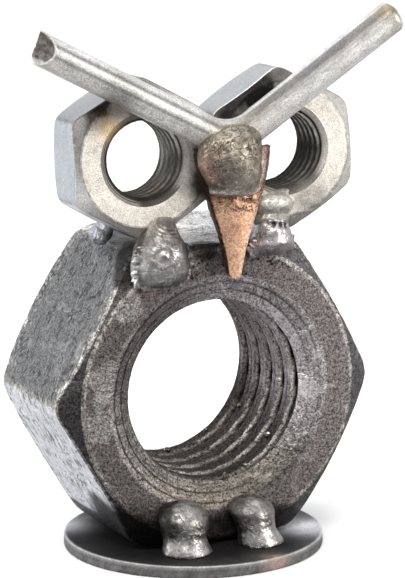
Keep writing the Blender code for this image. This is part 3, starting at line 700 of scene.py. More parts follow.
def eye_form(sizes, look, centre, roll, flats, bore_colour, heat_and_shadow, bright_line):
    """One eye: a zinc-plated nut in the head's frame, with its flats' painted light and shade, its heat marks
    and the painted shadow of the rod.
    """
    sink, bore = sizes.countersink / 2 / MM, sizes.bore / 2 / MM
    mouth = [(0, sink), (0.3, bore + 0.65), (0.42, bore + 0.55), (0.9, bore)]
    points, on = nut_shape(sizes, mouth, corner_up=True, columns=324, bore_rows=92, start=0.15)
    wobble = 0.03 * rough(points, 3.0, 11) + 0.02 * rough(points, 0.8, 12) - 0.03
    relief = wobble * (1 - on.bore) - 0.09 * on.edge * ease(rough(points, 0.8, 13), 0.2, 0.7)
    relief += 0.03 * on.bore * (1 - on.groove) * rough(points, 0.4, 14)
    height = points[..., 2]
    points = dent(points, True, relief) @ (HEAD_TURN @ turn_matrix("Y", roll)).T + centre
    right = points[..., 0] - centre[0]
    uneven = partial(rough, points)

    throat = ease(on.under, 0.3, 0.6)
    shade = on.cone * ease(height + 1.2 * uneven(1.2, 17), -0.5, 4.5) * window(right, -7.6, -6.6, -3.0, -0.5)
    shade *= 0.95 + 0.3 * uneven(0.5, 19)
    # Painted shade in the bore: along the edge of the mouth where it is seen, low in the mouth and in the
    # thread grooves
    shown = 1 - 0.9 * ease(right, -3.0, 2.0) * ease(height, -3.8, -1.5)
    ring = shown * (0.6 * ease(on.under, 0.3, 0.1) + bell(on.under, 0.34, 0.1))
    below = ease(height, -2.2, -4.0) * ease(on.under, 1.1, 0.9) * ease(right, -2.5, -0.5)
    dark = on.bore * (ease(on.groove, 0.5, 0.75) + np.maximum(ring, below))
    # A painted highlight on the thread crests, stronger towards the top
    crest = window(on.groove, 0.02, 0.15, 0.4, 0.65) * on.bore * ease(on.under, 0.8, 1.0)
    crest *= 0.12 + 0.68 * ease(height, -0.5, 1.5)
    # A painted highlight along the edge of one flat
    line = on.flat * (on.side == 2) * bell(on.inset, 0.2, 0.16)
    tint = paint(
        nut_colours(points, on, look.zinc, flats, look.zinc_cone),
        (bore_colour, on.bore * throat),
        ((0.55, 0.51, 0.5), on.bore * (1 - throat) * 0.8),
        ((0.62, 0.6, 0.56), on.cone * ease(right, 1.0, 6.0)),
        (SHADE_DARK, shade * 0.95),
        ((0.16, 0.15, 0.14), on.edge * (0.5 + 0.5 * uneven(0.5, 18))),
        ((0.014, 0.012, 0.011), dark * 0.92),
        ((1.0, 0.95, 0.86), crest))
    # Heat tints, and the painted shadow of the rod, as listed for each eye
    tint = paint_marks(tint, points, heat_and_shadow, (0.8 + 0.4 * uneven(1.0, 16)) * (1 - on.flat))
    tint = paint(
        tint,
        # Painted shade on the flats where the eye meets the body
        (SHADE_DARK, near(points, (-10.2, -6.0, 39.0), 2.8) * on.flat),
        ((0.8, 0.8, 0.8), near(points, (-16.9, -7.3, 44.5), 3.0) * on.cone * 0.9),
        ((1.0, 1.0, 0.98), line * bright_line))
    dull = 0.36 + 0.05 * on.face + 0.2 * on.bore + 0.04 * uneven(1.5, 15)
    # The sheen is dimmed where shade is painted and where the tint is dark
    marks = 1 - on.bore * ease(on.under, 0.2, 0.5) * (1 - crest) - 0.8 * shade
    return form(points, with_marks(tint, np.minimum(marks, 0.05 + 3 * tint.mean(-1))), dull, wrap_rows=True)


def rod_line(sizes):
    """Centre line of the brow rod in the head's frame: left arm, arc, right arm, as a function of length."""
    y = -(sizes.eye_height / 2 + sizes.gap + sizes.diameter / 2) / MM
    corner = np.array([sizes.corner_x / MM, y, sizes.corner_z / MM])
    rise = np.radians([sizes.left_rise, sizes.right_rise])
    left = np.array([-np.cos(rise[0]), 0.0, np.sin(rise[0])])
    right = np.array([np.cos(rise[1]), 0.0, np.sin(rise[1])])
    half_turn = (np.pi - np.arccos(left @ right)) / 2
    bend = sizes.bend_radius / MM
    setback = bend * np.tan(half_turn)
    arms = sizes.left_length / MM - setback, sizes.right_length / MM - setback
    arc = 2 * half_turn * bend
    middle = corner + (left + right) / np.linalg.norm(left + right) * bend / np.cos(half_turn)
    first = corner + left * setback - middle

    def at(s):
        """Points and directions at lengths s: straight, then turning at the bend radius, then straight."""
        turn = np.clip((s - arms[0]) / bend, 0, 2 * half_turn)[..., None]
        beyond = np.minimum(s - arms[0], 0) + np.maximum(s - arms[0] - arc, 0)
        way = -left * np.cos(turn) - first / bend * np.sin(turn)
        return middle + first * np.cos(turn) - left * bend * np.sin(turn) + way * beyond[..., None], way

    return at, arms[0] + arc + arms[1]


def rod_form(sizes, look):
    """The brow rod: circles carried along its line, a slanting cut at the left, a low dome at the right."""
    at, total = rod_line(sizes)
    radius, phi = sizes.diameter / 2 / MM, circle(72)
    cos, sin = np.cos(phi), np.sin(phi)
    shares = np.linspace(1, 0, 14)[:-1][::-1] ** 0.8
    slope = math.tan(math.radians(sizes.cut_angle))
    share = np.concatenate([shares, np.ones(150), (1 - np.linspace(0, 1, 12)[1:-1] ** 1.6)])[:, None]
    reach = share * np.ones(len(phi)) * radius
    upward = share * sin
    wedge = np.sqrt((reach * cos) ** 2 + 0.12 ** 2) * slope - 0.12 * slope
    wedge += 0.06 * rough(np.stack([reach * cos, reach * sin, reach * 0], -1), 0.9, 21)
    wedge += 0.35 * (1 - upward) / 2 + 0.3 * ease(-upward, 0.5, 1.0) - 0.6
    rows = len(shares)
    cut = wedge[rows]
    body = cut + (total - cut) * (np.linspace(0, 1, 150) ** 1.25)[:, None]
    dome = total + sizes.dome_height / MM * (1 - (reach[rows + 150:] / radius) ** 2) ** 0.75
    s = np.vstack([wedge[:rows], body, dome])
    centre, way = at(s)
    across = np.array([0.0, 1.0, 0.0])
    offset = across * cos[None, :, None] + np.cross(way, across) * sin[None, :, None]
    lay = np.stack([2 * cos * np.ones_like(s), 2 * sin * np.ones_like(s), s * 0.06], -1)
    points = dent(centre + offset * reach[..., None], False, 0.03 * rough(lay * [1, 1, 6], 1.2, 22) - 0.03)
    points = points @ HEAD_TURN.T + head_centre()

    around = np.degrees(phi)[None]
    past = ease(s, total * 0.4, total * 0.6)
    row = np.arange(len(s))[:, None]
    facet = (row < rows) * ease(upward, -0.75, -0.55)
    rim = np.abs(row - rows + 0.5) < 2
    middle = near(points, head_centre() + HEAD_TURN @ np.array([0.6, -8.0, 0.5]), 5.0)
    tip = ease(s, total - 3.5, total + 0.4) * (0.4 + 0.5 * rough(points, 1.2, 24))
    # Painted reflections and shade along the rod: a pale band on its lower side, a dark band above its
    # middle, painted shade on the upper side of the right arm, a painted highlight line and a dark line on
    # the left arm
    tint = paint(
        even_colours(points, look.rod),
        ((0.95, 0.93, 0.9), window(around, 184, 196, 226, 244)),
        ((0.13, 0.125, 0.12), bell(around + 8 * past + 2 * rough(lay, 0.5, 26), 150, 9) * 0.75),
        ((0.12, 0.115, 0.11), past * window(around, 100, 114, 156, 166) * 0.92),
        ((0.6, 0.59, 0.57), bell(around + 6 * past + 1.5 * rough(lay, 0.5, 27), 171, 6) * 0.8),
        ((0.3, 0.29, 0.28), (1 - past) * bell(around + 1.5 * rough(lay, 0.5, 28), 187, 6) * 0.8),
        ((0.03, 0.022, 0.018), facet * (0.9 + 0.25 * rough(points, 0.5, 23))),
        ((0.8, 0.76, 0.7), rim * 0.7),
        ((0.42, 0.33, 0.2), tip),
        ((0.25, 0.2, 0.17), ease(s, sizes.cut_reach / MM, 0) * 0.2),
        # Painted shade where the rod faces the left eye
        ((0.12, 0.11, 0.1), near(points, (-13.4, -10.2, 55.5), 2.6) * 0.8),
        ((0.3, 0.26, 0.2), middle * 0.6))
    dull = 0.34 + 0.26 * facet + 0.06 * rough(points, 1.6, 25) + 0.1 * middle
    lay = np.vstack([lay.reshape(-1, 3), [0, 0, 0], [0, 0, total * 0.06]])
    return form(points, tint, dull, poles=end_poles(points)), lay


def head_centre():
    """Middle of the head's frame: the left eye's middle moved in by half the eye's width."""
    settings = bpy.context.scene.owl
    inward = (settings.eye.across_flats / 2 + settings.rod.gap / 2) / MM
    return LEFT_EYE_CENTRE + HEAD_TURN @ np.array([inward, 0.0, 0.0])


def beak_form(sizes, look):
    """The beak: a bowed strip whose width eases from the rounded tip to the top, with raw sheared edges."""
    length, top, tip = sizes.length / MM, sizes.top_width / MM, sizes.tip_width / MM
    thick, bow = sizes.thickness / MM, sizes.curve_radius / MM
    share = np.concatenate([np.linspace(0, 0.05, 14), np.linspace(0.05, 1, 150)[1:]])[:, None]
    flare = 0.75 * (3 - 2 * share) * share ** 2 + 0.25 * share
    half = (tip + (top - tip) * flare) / 2
    half *= np.sqrt(np.clip(1 - (1 - np.minimum(share / (tip / 2 / length), 1)) ** 2, 0.015, 1))
    across = np.array([1, 1, 0.985, 0.96])
    across = np.concatenate([-across, np.linspace(-0.93, 0.93, 44), across[::-1]])
    depth = np.array([0.36, 0.42, 0.47, 0.495])
    depth = np.concatenate([depth, np.full(44, 0.5), depth[::-1]])
    u = np.concatenate([across, across[::-1]]) * np.ones_like(share)
    side = np.concatenate([-depth, depth[::-1]]) * np.ones_like(share)
    low = share * 24 * np.ones_like(u)
    x = half * u * (1 + 0.05 * rough(np.stack([low, np.sign(u) * 4, low * 0], -1), 1.0, 31))
    sag = bow - np.sqrt(np.maximum(bow ** 2 - x ** 2, 0))
    local = np.stack([x, sag + (side - 0.5) * thick, share * length * np.ones_like(x)], -1)
    in_burn = near(local[..., 2:], [9.6], 1.1) * (side < 0)
    relief = 0.03 * rough(local, 1.6, 33) - 0.03 + 0.12 * in_burn * rough(local, 0.7, 38)
    local = dent(local, False, relief)
    turn = turn_matrix("Z", HEAD_YAW) @ turn_matrix("Y", sizes.tilt)
    edge_y = -(bpy.context.scene.owl.eye.height / 2 + bpy.context.scene.owl.rod.gap) / MM
    edge_y -= bow - math.sqrt(bow ** 2 - (top / 2) ** 2)
    hang = head_centre() + HEAD_TURN @ np.array([sizes.shift_x / MM, edge_y, sizes.top_height / MM])
    points = (local - [0, 0, length]) @ turn.T + hang
    up = points[..., 2]
    uneven = partial(rough, points)

    scorch = ease(up + 0.9 * uneven(0.7, 35), 42.9, 43.7)
    wing = ease(up, 43.4, 45.8)
    wall = ease(-u - 0.02 * uneven(0.5, 41), 0.86, 0.93)
    lit = near(np.stack([u * 4, up], -1), [-3.72, 37.5], 2.6) * (uneven(0.5, 40) > 0.1)
    tint = paint(
        even_colours(points, look.copper),
        ((0.62, 0.33, 0.25), ease(uneven(2.4, 34), 0.0, 0.6) * 0.6),
        ((0.8, 0.5, 0.4), ease(u, 0.62, 0.98) * (0.5 + 0.4 * uneven(0.8, 39))),
        ((0.11, 0.06, 0.045), scorch * (0.65 + 0.5 * uneven(0.45, 36))),
        ((0.24, 0.135, 0.105), wing * 0.9),
        ((0.95, 0.72, 0.66), wing * window(u, 0.66, 0.74, 0.84, 0.92) * (0.6 + 0.5 * uneven(0.6, 42))),
        ((0.045, 0.027, 0.022), wall * 0.96),
        ((0.5, 0.3, 0.22), lit * 0.5),
        ((0.2, 0.11, 0.08), (side > 0) * 0.5))
    dull = 0.4 + 0.05 * uneven(1.2, 37) + 0.1 * scorch
    burnt = 0.02 + ease(up, 41.0, 42.2) * (1 - 0.5 * ease(up, 44.6, 46.0))
    flat, faces, tint, dull = form(points, with_marks(tint, burnt), dull)
    rows, columns = up.shape
    for row in (0, rows - 1):
        j = np.arange(columns // 2 - 1) + row * columns
        mirror = row * columns + columns - 1 - np.arange(columns // 2 - 1)
        cap = np.stack([j, j + 1, mirror - 1, mirror], -1)
        wall_face = list(faces[(faces == j[0]).any(1) & (faces == j[1]).any(1)][0])
        same_way = (wall_face.index(j[0]) + 1) % 4 == wall_face.index(j[1])
        faces = np.vstack([faces, cap[:, ::-1] if same_way else cap])
    return flat, faces, tint, dull


def bead(centre, lobes, rows, columns, blend):
    """Bead of weld metal as a ball of directions.

    The reach in each direction is that of ellipsoid lobes seen from the centre, added up by a high
    power so that they melt together.
    """
    way = ball_grid(rows, columns, 0.004)
    total = np.zeros((rows, columns))
    for middle, radii in np.array(lobes, float):
        scaled, offset = way / radii, middle / radii
        a = (scaled ** 2).sum(-1)
        b = (scaled * offset).sum(-1)
        inside = b * b - a * ((offset ** 2).sum() - 1)
        total += np.where(inside > 0, np.maximum((b + np.sqrt(np.maximum(inside, 0))) / a, 0), 0) ** blend
    return way * (total ** (1 / blend))[..., None] + np.asarray(centre, float)


def ripples(points, place, spacing, low, high, depth):
    """Rings like those in a set weld pool: a wave of the distance from a place, between two distances."""
    far = np.linalg.norm(points - np.asarray(place, float), axis=-1)
    return depth * np.sin(TURN * far / spacing) * window(far, low, low + 0.4, high - 0.4, high)


def finish_bead(points, relief, colour, marks, seed, shine, wrinkled):
    """Form of a bead's grid with relief along its normals and marks of (place, reach, colour, strength)."""
    points = dent(points, False, relief + 0.03 * rough(points, 1.0, seed))
    dull = shine + 0.06 * rough(points, 0.9, seed + 1)
    tint = paint_marks(even_colours(points, colour), points, marks, 0.85 + 0.3 * rough(points, 0.6, seed + 2))
    return form(points, with_marks(tint, wrinkled), dull, poles=end_poles(points))


def smooth_table(keys, rows):
    """Smooth curve through a few key rows, read at even steps: each stretch eased by a cubic."""
    keys = np.asarray(keys, float)
    at = np.linspace(0, len(keys) - 1, rows)
    i = np.clip(at.astype(int), 0, len(keys) - 2)
    t = (at - i)[:, None]
    before, a, b, after = (keys[np.clip(i + k, 0, len(keys) - 1)] for k in (-1, 0, 1, 2))
    return 0.5 * (2 * a + (b - before) * t + (2 * before - 5 * a + 4 * b - after) * t ** 2
                  + (3 * a - before - 3 * b + after) * t ** 3)


def spool(keys, rows=150, columns=180):
    """Melted lump as a pile of ovals; each key row gives a height, the oval's middle and two half widths."""
    height, x, y, wide, deep = (column[:, None] for column in smooth_table(keys, rows).T)
    phi = circle(columns)
    return np.stack([x + np.maximum(wide, 0.02) * np.cos(phi), y + np.maximum(deep, 0.02) * np.sin(phi),
                     height * np.ones(columns)], -1)


def repaint(bead_form, *layers):
    """The same form with more layers of (colour, weight) over its grid points."""
    flat, faces, tint, dull = bead_form
    count = layers[0][1].size
    tint[:count, :3] = paint(tint[:count, :3], *((colour, weight.reshape(-1)) for colour, weight in layers))
    return flat, faces, tint, dull


def nose_form(look):
    """The big drop between the eyes: gold and purple clouds with painted highlights, ripples at its root, a
    ragged rim below.
    """
    centre = head_centre() + HEAD_TURN @ np.array([0.25, -7.65, -0.35])
    points = spool([
        (52.35, 1.0, -11.4, 0.1, 0.1), (52.3, 1.0, -11.5, 1.4, 1.0), (51.9, 0.9, -11.7, 2.6, 1.9),
        (50.9, 0.45, -12.1, 3.65, 2.75), (49.2, 0.1, -12.35, 4.0, 3.1), (47.4, 0.15, -12.35, 3.9, 3.05),
        (46.0, 0.5, -12.25, 3.6, 2.75), (44.9, 0.8, -12.1, 3.15, 2.3), (44.1, 0.95, -12.0, 2.5, 1.6),
        (43.7, 0.95, -12.0, 1.4, 0.8), (43.65, 0.95, -12.0, 0.1, 0.1)])
    uneven = partial(rough, points)
    rim = bell(points[..., 2] - 0.45 * uneven(0.9, 48), 44.35, 0.36)
    seam = bell(points[..., 1] + 0.3 * uneven(0.8, 50), -11.6, 0.35)
    relief = ripples(points, centre + [1.2, 0.6, 4.0], 0.45, 0.5, 2.6, 0.03)
    relief += ripples(points, centre + [-3.6, 0.4, 2.6], 0.42, 0.4, 2.4, 0.03)
    relief += 0.2 * uneven(2.6, 41) + 0.05 * uneven(1.0, 49) - 0.14
    relief -= spots(points - centre, (-2.2, -2.6, 1.8, 1.3, 0.3), (-1.0, -3.2, -2.0, 1.4, 0.25))
    relief += 0.32 * rim + 0.3 * seam * np.maximum(uneven(0.6, 51), 0)
    marks = [
        (centre + [0.4, -3.0, 1.4], 2.4, (0.46, 0.41, 0.31), 0.75),
        (centre + [-1.4, -2.6, -1.6], 1.6, (0.07, 0.05, 0.052), 0.9),
        (centre + [-2.0, -2.4, 2.3], 1.3, (0.03, 0.025, 0.022), 0.95),
        (centre + [-4.0, -1.0, -0.4], 1.3, (0.95, 0.6, 0.5), 0.85),
        (centre + [-3.2, -1.4, -1.6], 1.2, (0.8, 0.47, 0.38), 0.8),
        (centre + [-2.6, -2.0, 0.6], 1.2, (0.2, 0.14, 0.11), 0.8),
        # A painted highlight on the lower right
        (centre + [1.4, -2.8, -1.5], 2.7, (1.0, 0.9, 0.8), 1.0),
        (centre + [2.9, -1.4, 0.6], 1.8, (0.24, 0.2, 0.13), 0.7),
        (centre + [0.9, -1.4, 4.2], 1.8, (0.3, 0.28, 0.25), 0.6),
        # Painted shade that dims a highlight at the top right
        ((1.2, -15.2, 49.7), 1.4, (0.13, 0.11, 0.085), 0.7),
    ]
    # Gold tint with painted highlights: bright spots about the middle
    gold_glint = ease(uneven(0.5, 57), 0.1, 0.4) * near(points, centre + [0.2, -3.0, 0.9], 2.0)
    grime = ease(uneven(0.6, 58), 0.15, 0.45) * (1 - gold_glint)
    nose = finish_bead(points, relief, look.nose, marks, seed=42, shine=0.42, wrinkled=0.8)
    return repaint(nose, ((1.0, 0.93, 0.76), gold_glint * 0.95), ((0.06, 0.05, 0.045), grime * 0.5),
                   ((1.0, 0.92, 0.88), rim * 0.95))


def flange(points, plane_y, below, width, seed):
    """Ragged lip where a bead has run out on the body's front: a bulge close to a plane, under a height."""
    close = bell(points[..., 1], plane_y, width) * ease(points[..., 2], below + 0.6, below - 0.6)
    uneven = 0.5 + 1.1 * rough(points, 0.5, seed) + 0.5 * lumps(points, 0.3, seed + 1)
    return 0.55 * close * np.clip(uneven, 0, 2), close


def left_eye_weld_form(look):
    """The bead between the left eye and the body, with its crater and its ragged lip."""
    points = spool([
        (41.5, -6.7, -8.6, 0.1, 0.1), (41.45, -6.7, -8.6, 0.8, 0.4), (41.0, -6.8, -8.8, 1.45, 1.1),
        (40.2, -7.05, -9.0, 1.85, 1.7), (39.4, -7.3, -9.2, 2.3, 2.15), (38.4, -7.5, -9.4, 2.95, 2.65),
        (37.2, -7.55, -9.5, 3.3, 2.95), (36.0, -7.6, -9.5, 3.55, 2.85), (34.8, -7.6, -9.5, 3.5, 2.3),
        (33.9, -7.6, -9.5, 3.15, 1.6), (33.45, -7.6, -9.5, 2.1, 0.95), (33.4, -7.6, -9.5, 0.1, 0.1)])
    x, y, z = np.moveaxis(points, -1, 0)
    crater = np.array([-8.3, -12.3, 37.5])
    ring = np.linalg.norm(points - crater, axis=-1)
    relief = ripples(points, (-6.7, -10.2, 41.6), 0.5, 0.3, 3.0, 0.014) + 0.07 * rough(points, 2.0, 51) - 0.04
    relief += 0.16 * near(points, crater + [0.2, 0.1, 0.2], 0.35) - 0.16 * ease(ring, 1.5, 0.7)
    relief += 0.05 * bell(ring, 1.1, 0.3)
    lip, close = flange(points, -9.95, 38.6, 0.5, 53)
    marks = [
        (crater + [0.9, 1.4, 2.9], 2.0, (0.15, 0.13, 0.1), 0.8),
        # A painted highlight on the left of the bead
        (crater + [-2.0, 1.0, 0.3], 0.8, (1.0, 0.96, 0.88), 0.85),
        (crater + [-1.1, 0.5, 0.9], 0.8, (0.13, 0.12, 0.1), 0.75),
        # Painted light on the lower part, which faces down
        (crater + [1.2, 0.3, -2.2], 2.4, (0.82, 0.79, 0.78), 0.9),
        # Painted highlights on the neck
        (crater + [1.2, 0.9, 2.2], 0.45, (0.95, 0.88, 0.75), 0.8),
        (crater + [1.1, 1.4, 3.2], 0.4, (0.9, 0.84, 0.72), 0.7),
        (crater + [4.3, 1.6, 0.8], 1.3, (0.045, 0.04, 0.035), 0.6),
        (crater + [1.3, 0.3, 0.9], 0.8, (0.16, 0.15, 0.14), 0.6),
        # Painted light low on the bead, which faces down
        (crater + [-1.6, 0.8, -2.2], 1.5, (0.85, 0.82, 0.8), 0.8),
        ((-8.8, -11.3, 34.2), 1.9, (1.0, 0.98, 0.95), 0.95),
        ((-10.8, -10.3, 38.6), 1.7, (0.03, 0.026, 0.022), 0.95),
        ((-4.8, -10.6, 38.4), 1.3, (0.04, 0.036, 0.032), 0.85),
    ]
    bright = close * ease(lip, 0.06, 0.3) * (1 - near(points, (-10.7, -10.3, 38.7), 2.0))
    weld = finish_bead(points, relief + lip, look.weld, marks, seed=52, shine=0.33, wrinkled=0.35)
    return repaint(weld, ((0.12, 0.11, 0.1), bell(y, -10.7, 0.3) * ease(z, 38.0, 36.6) * 0.6),
                   ((0.98, 0.96, 0.93), bright * 0.95),
                   ((0.06, 0.055, 0.05), ease(x, -5.4, -4.2) * ease(z, 36.0, 37.5) * 0.7))


def right_eye_weld_forms(look):
    """The two lumps between the right eye and the body, the lower one with pits and a ragged lip."""
    points = spool([
        (40.75, 6.9, -9.7, 0.1, 0.1), (40.7, 6.9, -9.8, 0.9, 0.8), (40.2, 6.85, -9.8, 1.7, 1.6),
        (39.4, 6.8, -9.8, 2.0, 1.85), (38.4, 6.8, -9.8, 2.35, 2.1), (37.4, 6.75, -9.8, 2.65, 2.25),
        (36.6, 6.7, -9.7, 2.75, 1.7), (36.05, 6.7, -9.6, 2.3, 1.0), (35.95, 6.7, -9.6, 0.1, 0.1)], 120, 160)
    pits = spots(points, (6.2, -11.5, 39.9, 0.42, 1), (7.2, -11.6, 39.7, 0.42, 1),
                 (5.2, -11.2, 40.1, 0.42, 1), (8.1, -11.3, 39.5, 0.42, 1))
    lip, close = flange(points, -9.85, 38.0, 0.42, 63)
    relief = 0.1 * rough(points, 1.5, 61) + 0.05 * rough(points, 0.6, 66) - 0.06 - 0.34 * pits + lip
    marks = [
        ((6.7, -12.0, 37.7), 3.2, (0.8, 0.75, 0.77), 0.95),
        ((5.0, -11.2, 38.9), 0.9, (0.16, 0.13, 0.15), 0.5),
        ((8.7, -10.6, 38.4), 1.0, (0.46, 0.44, 0.46), 0.6),
        ((5.9, -11.1, 39.9), 1.1, (0.2, 0.18, 0.18), 0.8),
    ]
    lower = finish_bead(points, relief, look.weld, marks, seed=62, shine=0.34, wrinkled=0.3)
    # Painted shade in the pits
    lower = repaint(lower, (SHADE_DARK, ease(pits, 0.3, 0.8) * 0.9),
                    ((0.95, 0.92, 0.9), close * ease(lip, 0.2, 0.6) * 0.85))
    lobes = [((0, 0.2, 0), (2.7, 1.9, 1.7)), ((2.0, 0.5, 0.4), (2.3, 0.95, 1.2)),
             ((-0.3, 0.1, -1.6), (2.0, 1.9, 1.2))]
    points = bead((7.2, -9.2, 41.7), lobes, rows=110, columns=150, blend=3.0)
    relief = 0.1 * rough(points, 1.3, 64) - 0.05
    marks = [
        # A painted highlight on the upper lump
        ((7.6, -11.2, 42.0), 1.2, (0.95, 0.93, 0.87), 0.85),
        ((9.6, -10.4, 42.2), 1.6, (0.7, 0.67, 0.6), 0.8),
        ((6.0, -11.2, 40.0), 1.1, (0.1, 0.09, 0.08), 0.85),
        ((6.0, -10.6, 41.6), 0.9, (0.95, 0.93, 0.88), 0.85),
    ]
    melt = ease(points[..., 1], -10.9, -10.2) * ease(np.abs(points[..., 2] - 42.0), 1.6, 1.0)
    upper = finish_bead(points, relief, (0.5, 0.49, 0.46), marks, seed=65, shine=0.5, wrinkled=0.3)
    return [lower, repaint(upper, (look.zinc, melt * 0.6))]


def back_weld_form():
    """The small drip behind the left eye, ragged where it meets the body."""
    back = np.array([-11.6, -1.2, 38.6])
    lobes = [((0.1, 0, -0.3), (1.0, 1.8, 1.15)), ((0.7, -0.3, 0.6), (0.8, 1.5, 1.2))]
    points = bead(back, lobes, rows=60, columns=90, blend=6.0)
    foot = bell(points[..., 2], 38.0, 0.3) * np.maximum(rough(points, 0.6, 72), 0)
    marks = [(back + [0.9, -1.6, -0.4], 0.9, (0.1, 0.09, 0.08), 0.7)]
    relief = 0.2 * rough(points, 0.8, 71) + 0.4 * foot
    return finish_bead(points, relief, (0.5, 0.5, 0.52), marks, seed=72, shine=0.5, wrinkled=0.5)


def foot_form(keys, look, seed, shade):
    """One foot: weld metal from the plate to the body, pitted at its waist, with a ragged skirt."""
    points = spool(keys)
    waist = keys[3]
    pool = np.array([waist[1] + 0.5, waist[2] - 2.2, waist[0] + 0.9])
    relief = 0.05 * rough(points, 2.2, seed) + 0.26 * rough(points, 0.6, seed + 1) * near(points, pool, 1.0)
    relief += 0.25 * ease(points[..., 2], 2.3, 1.5) * np.maximum(rough(points, 0.7, seed + 2), 0)
    marks = [
        (pool + [0.1, 0, 0.1], 0.9, (0.1, 0.09, 0.08), 0.8),
        (pool + [1.2, 0.1, 0.1], 0.7, (0.62, 0.6, 0.56), 0.6),
        (pool + [0.4, 0.2, 1.4], 1.4, (0.14, 0.13, 0.12), 0.85),
        (pool + [-2.5, 0.8, 1.6], 1.3, (0.06, 0.055, 0.05), 0.8),
        (pool + [-1.7, 0.6, -1.8], 1.3, (0.62, 0.6, 0.57), 0.7),
        (pool + [2.6, 1.4, 1.2], 1.1, (0.08, 0.07, 0.065), 0.7),
    ]
    turn = circle(points.shape[1])
    across = (0.9 * np.cos(turn) - 0.42 * np.sin(turn))[None] + 0.25 * rough(points, 0.8, seed + 4)
    upper = ease(points[..., 2], 3.1, 4.2)
    foot = finish_bead(points, relief, look.weld, marks, seed=seed + 3, shine=0.34, wrinkled=0.35)
    # Painted shade down the foot's left side, weighted by shade, and a painted highlight: a bright strip down
    # its right side
    return repaint(foot, ((0.03, 0.028, 0.026), ease(across, 0.2, -0.5) * (0.1 + 0.9 * upper) * shade),
                   ((0.95, 0.93, 0.9), bell(across, 0.5, 0.14) * (1 - 0.6 * upper) * (0.95 - 0.5 * shade)))


def feet_forms(look):
    """Both feet: spools of weld metal from the body's front to the plate."""
    left = [(1.46, -5.1, -11.2, 0.1, 0.1), (1.48, -5.1, -11.2, 2.3, 2.2), (1.75, -5.1, -11.2, 2.9, 2.75),
            (3.3, -5.3, -11.0, 2.6, 2.3), (4.5, -5.25, -10.8, 2.95, 2.45), (5.6, -5.3, -10.5, 3.2, 2.55),
            (6.6, -5.4, -10.2, 2.7, 2.1), (7.35, -5.6, -9.9, 1.6, 1.3), (7.45, -5.6, -9.9, 0.1, 0.1)]
    right = [(1.46, 4.6, -11.3, 0.1, 0.1), (1.48, 4.6, -11.3, 2.2, 1.9), (1.75, 4.5, -11.3, 2.75, 2.4),
             (3.2, 4.1, -11.0, 2.3, 2.2), (4.4, 3.85, -10.7, 2.5, 2.3), (5.5, 3.65, -10.4, 2.75, 2.35),
             (6.4, 3.55, -10.1, 2.15, 1.85), (6.95, 3.5, -9.9, 1.2, 1.1), (7.05, 3.5, -9.9, 0.1, 0.1)]
    return foot_form(left, look, 81, 0.9), foot_form(right, look, 91, 0.4)


def plate_form(sizes, look):
    """The round plate: circles from the middle of the underside, round the rim and back over the top."""
    radius, thick, edge = sizes.diameter / 2 / MM, sizes.thickness / MM, sizes.edge_rounding / MM
    turn = np.linspace(0, np.pi / 2, 6)
    flat = radius - edge
    r = np.concatenate([np.linspace(0.02, flat, 50), flat + edge * np.sin(turn)[1:], [radius, radius],
                        flat + edge * np.cos(turn), np.linspace(flat, 0.02, 70)[1:]])[:, None]
    z = np.concatenate([np.zeros(50), edge - edge * np.cos(turn)[1:], [thick * 0.4, thick * 0.6],
                        thick - edge + edge * np.sin(turn), np.full(69, thick)])[:, None]
    points = revolve(r, circle(300), z) + [PLATE_CENTRE[0], PLATE_CENTRE[1], 0]
    rim = ease(r, radius - 0.35, radius - 0.05)
    upper = ease(z, thick * 0.5, thick * 0.9)
    relief = (0.02 * rough(points, 2.4, 101) - 0.02) * upper
    relief -= rim * (0.03 + 0.07 * ease(rough(points, 1.0, 102), 0.1, 0.7))
    points = dent(points, False, relief)
    points[..., 2] = np.maximum(points[..., 2], 0)
    # Soot round the feet, and painted shade on the plate under the body
    soot_and_shade = spots(points, (-5.5, -11, 1.5, 5.0, 1), (3.6, -11, 1.5, 4.6, 1), (-1, -6, 1.5, 8.0, 1),
                 (-10, -5, 1.5, 7.0, 1), (8, -10, 1.5, 3.4, 1), (-12.8, 1.0, 1.5, 3.2, 1))
    pale = spots(points, (12.6, -7.6, 1.5, 3.4, 1), (-13.2, 6.0, 1.5, 3.0, 0.7)) * upper
    rust = near(points, (3.6, -17.6, 0.7), 1.6) * (0.6 + 0.6 * rough(points, 0.7, 103))
    tint = paint(
        even_colours(points, look.plate),
        ((0.012, 0.011, 0.012), soot_and_shade * upper * (1 - 0.8 * rim)),
        ((0.17, 0.165, 0.165), rim * (1 - upper) * (0.7 + 0.6 * rough(points, 0.35, 105))),
        (look.plate_rim, ease(points[..., 2], thick * 0.75, thick * 0.97) * rim),
        ((0.8, 0.8, 0.83), pale * 0.9),
        ((0.5, 0.36, 0.32), rust))
    dull = 0.55 + 0.06 * rough(points, 1.8, 104) + 0.1 * upper * np.clip(soot_and_shade, 0, 1) - 0.25 * pale
    return form(points, tint, dull, poles=end_poles(points))


def drops_form(places, sizes, colour, seed):
    """Spatter: small uneven balls, one for each place."""
    forms = []
    ball = ball_grid(9, 12, 0.06)
    for place, size in zip(places, sizes):
        points = place + ball * ((1 + 0.2 * lumps(ball + place, 0.9, seed)) * size)[..., None]
        poles = end_poles(points)
        poles += (poles - place) * 0.04
        forms.append(form(points, even_colours(points, colour), np.full(points.shape[:2], 0.22), poles=poles))
    return forms


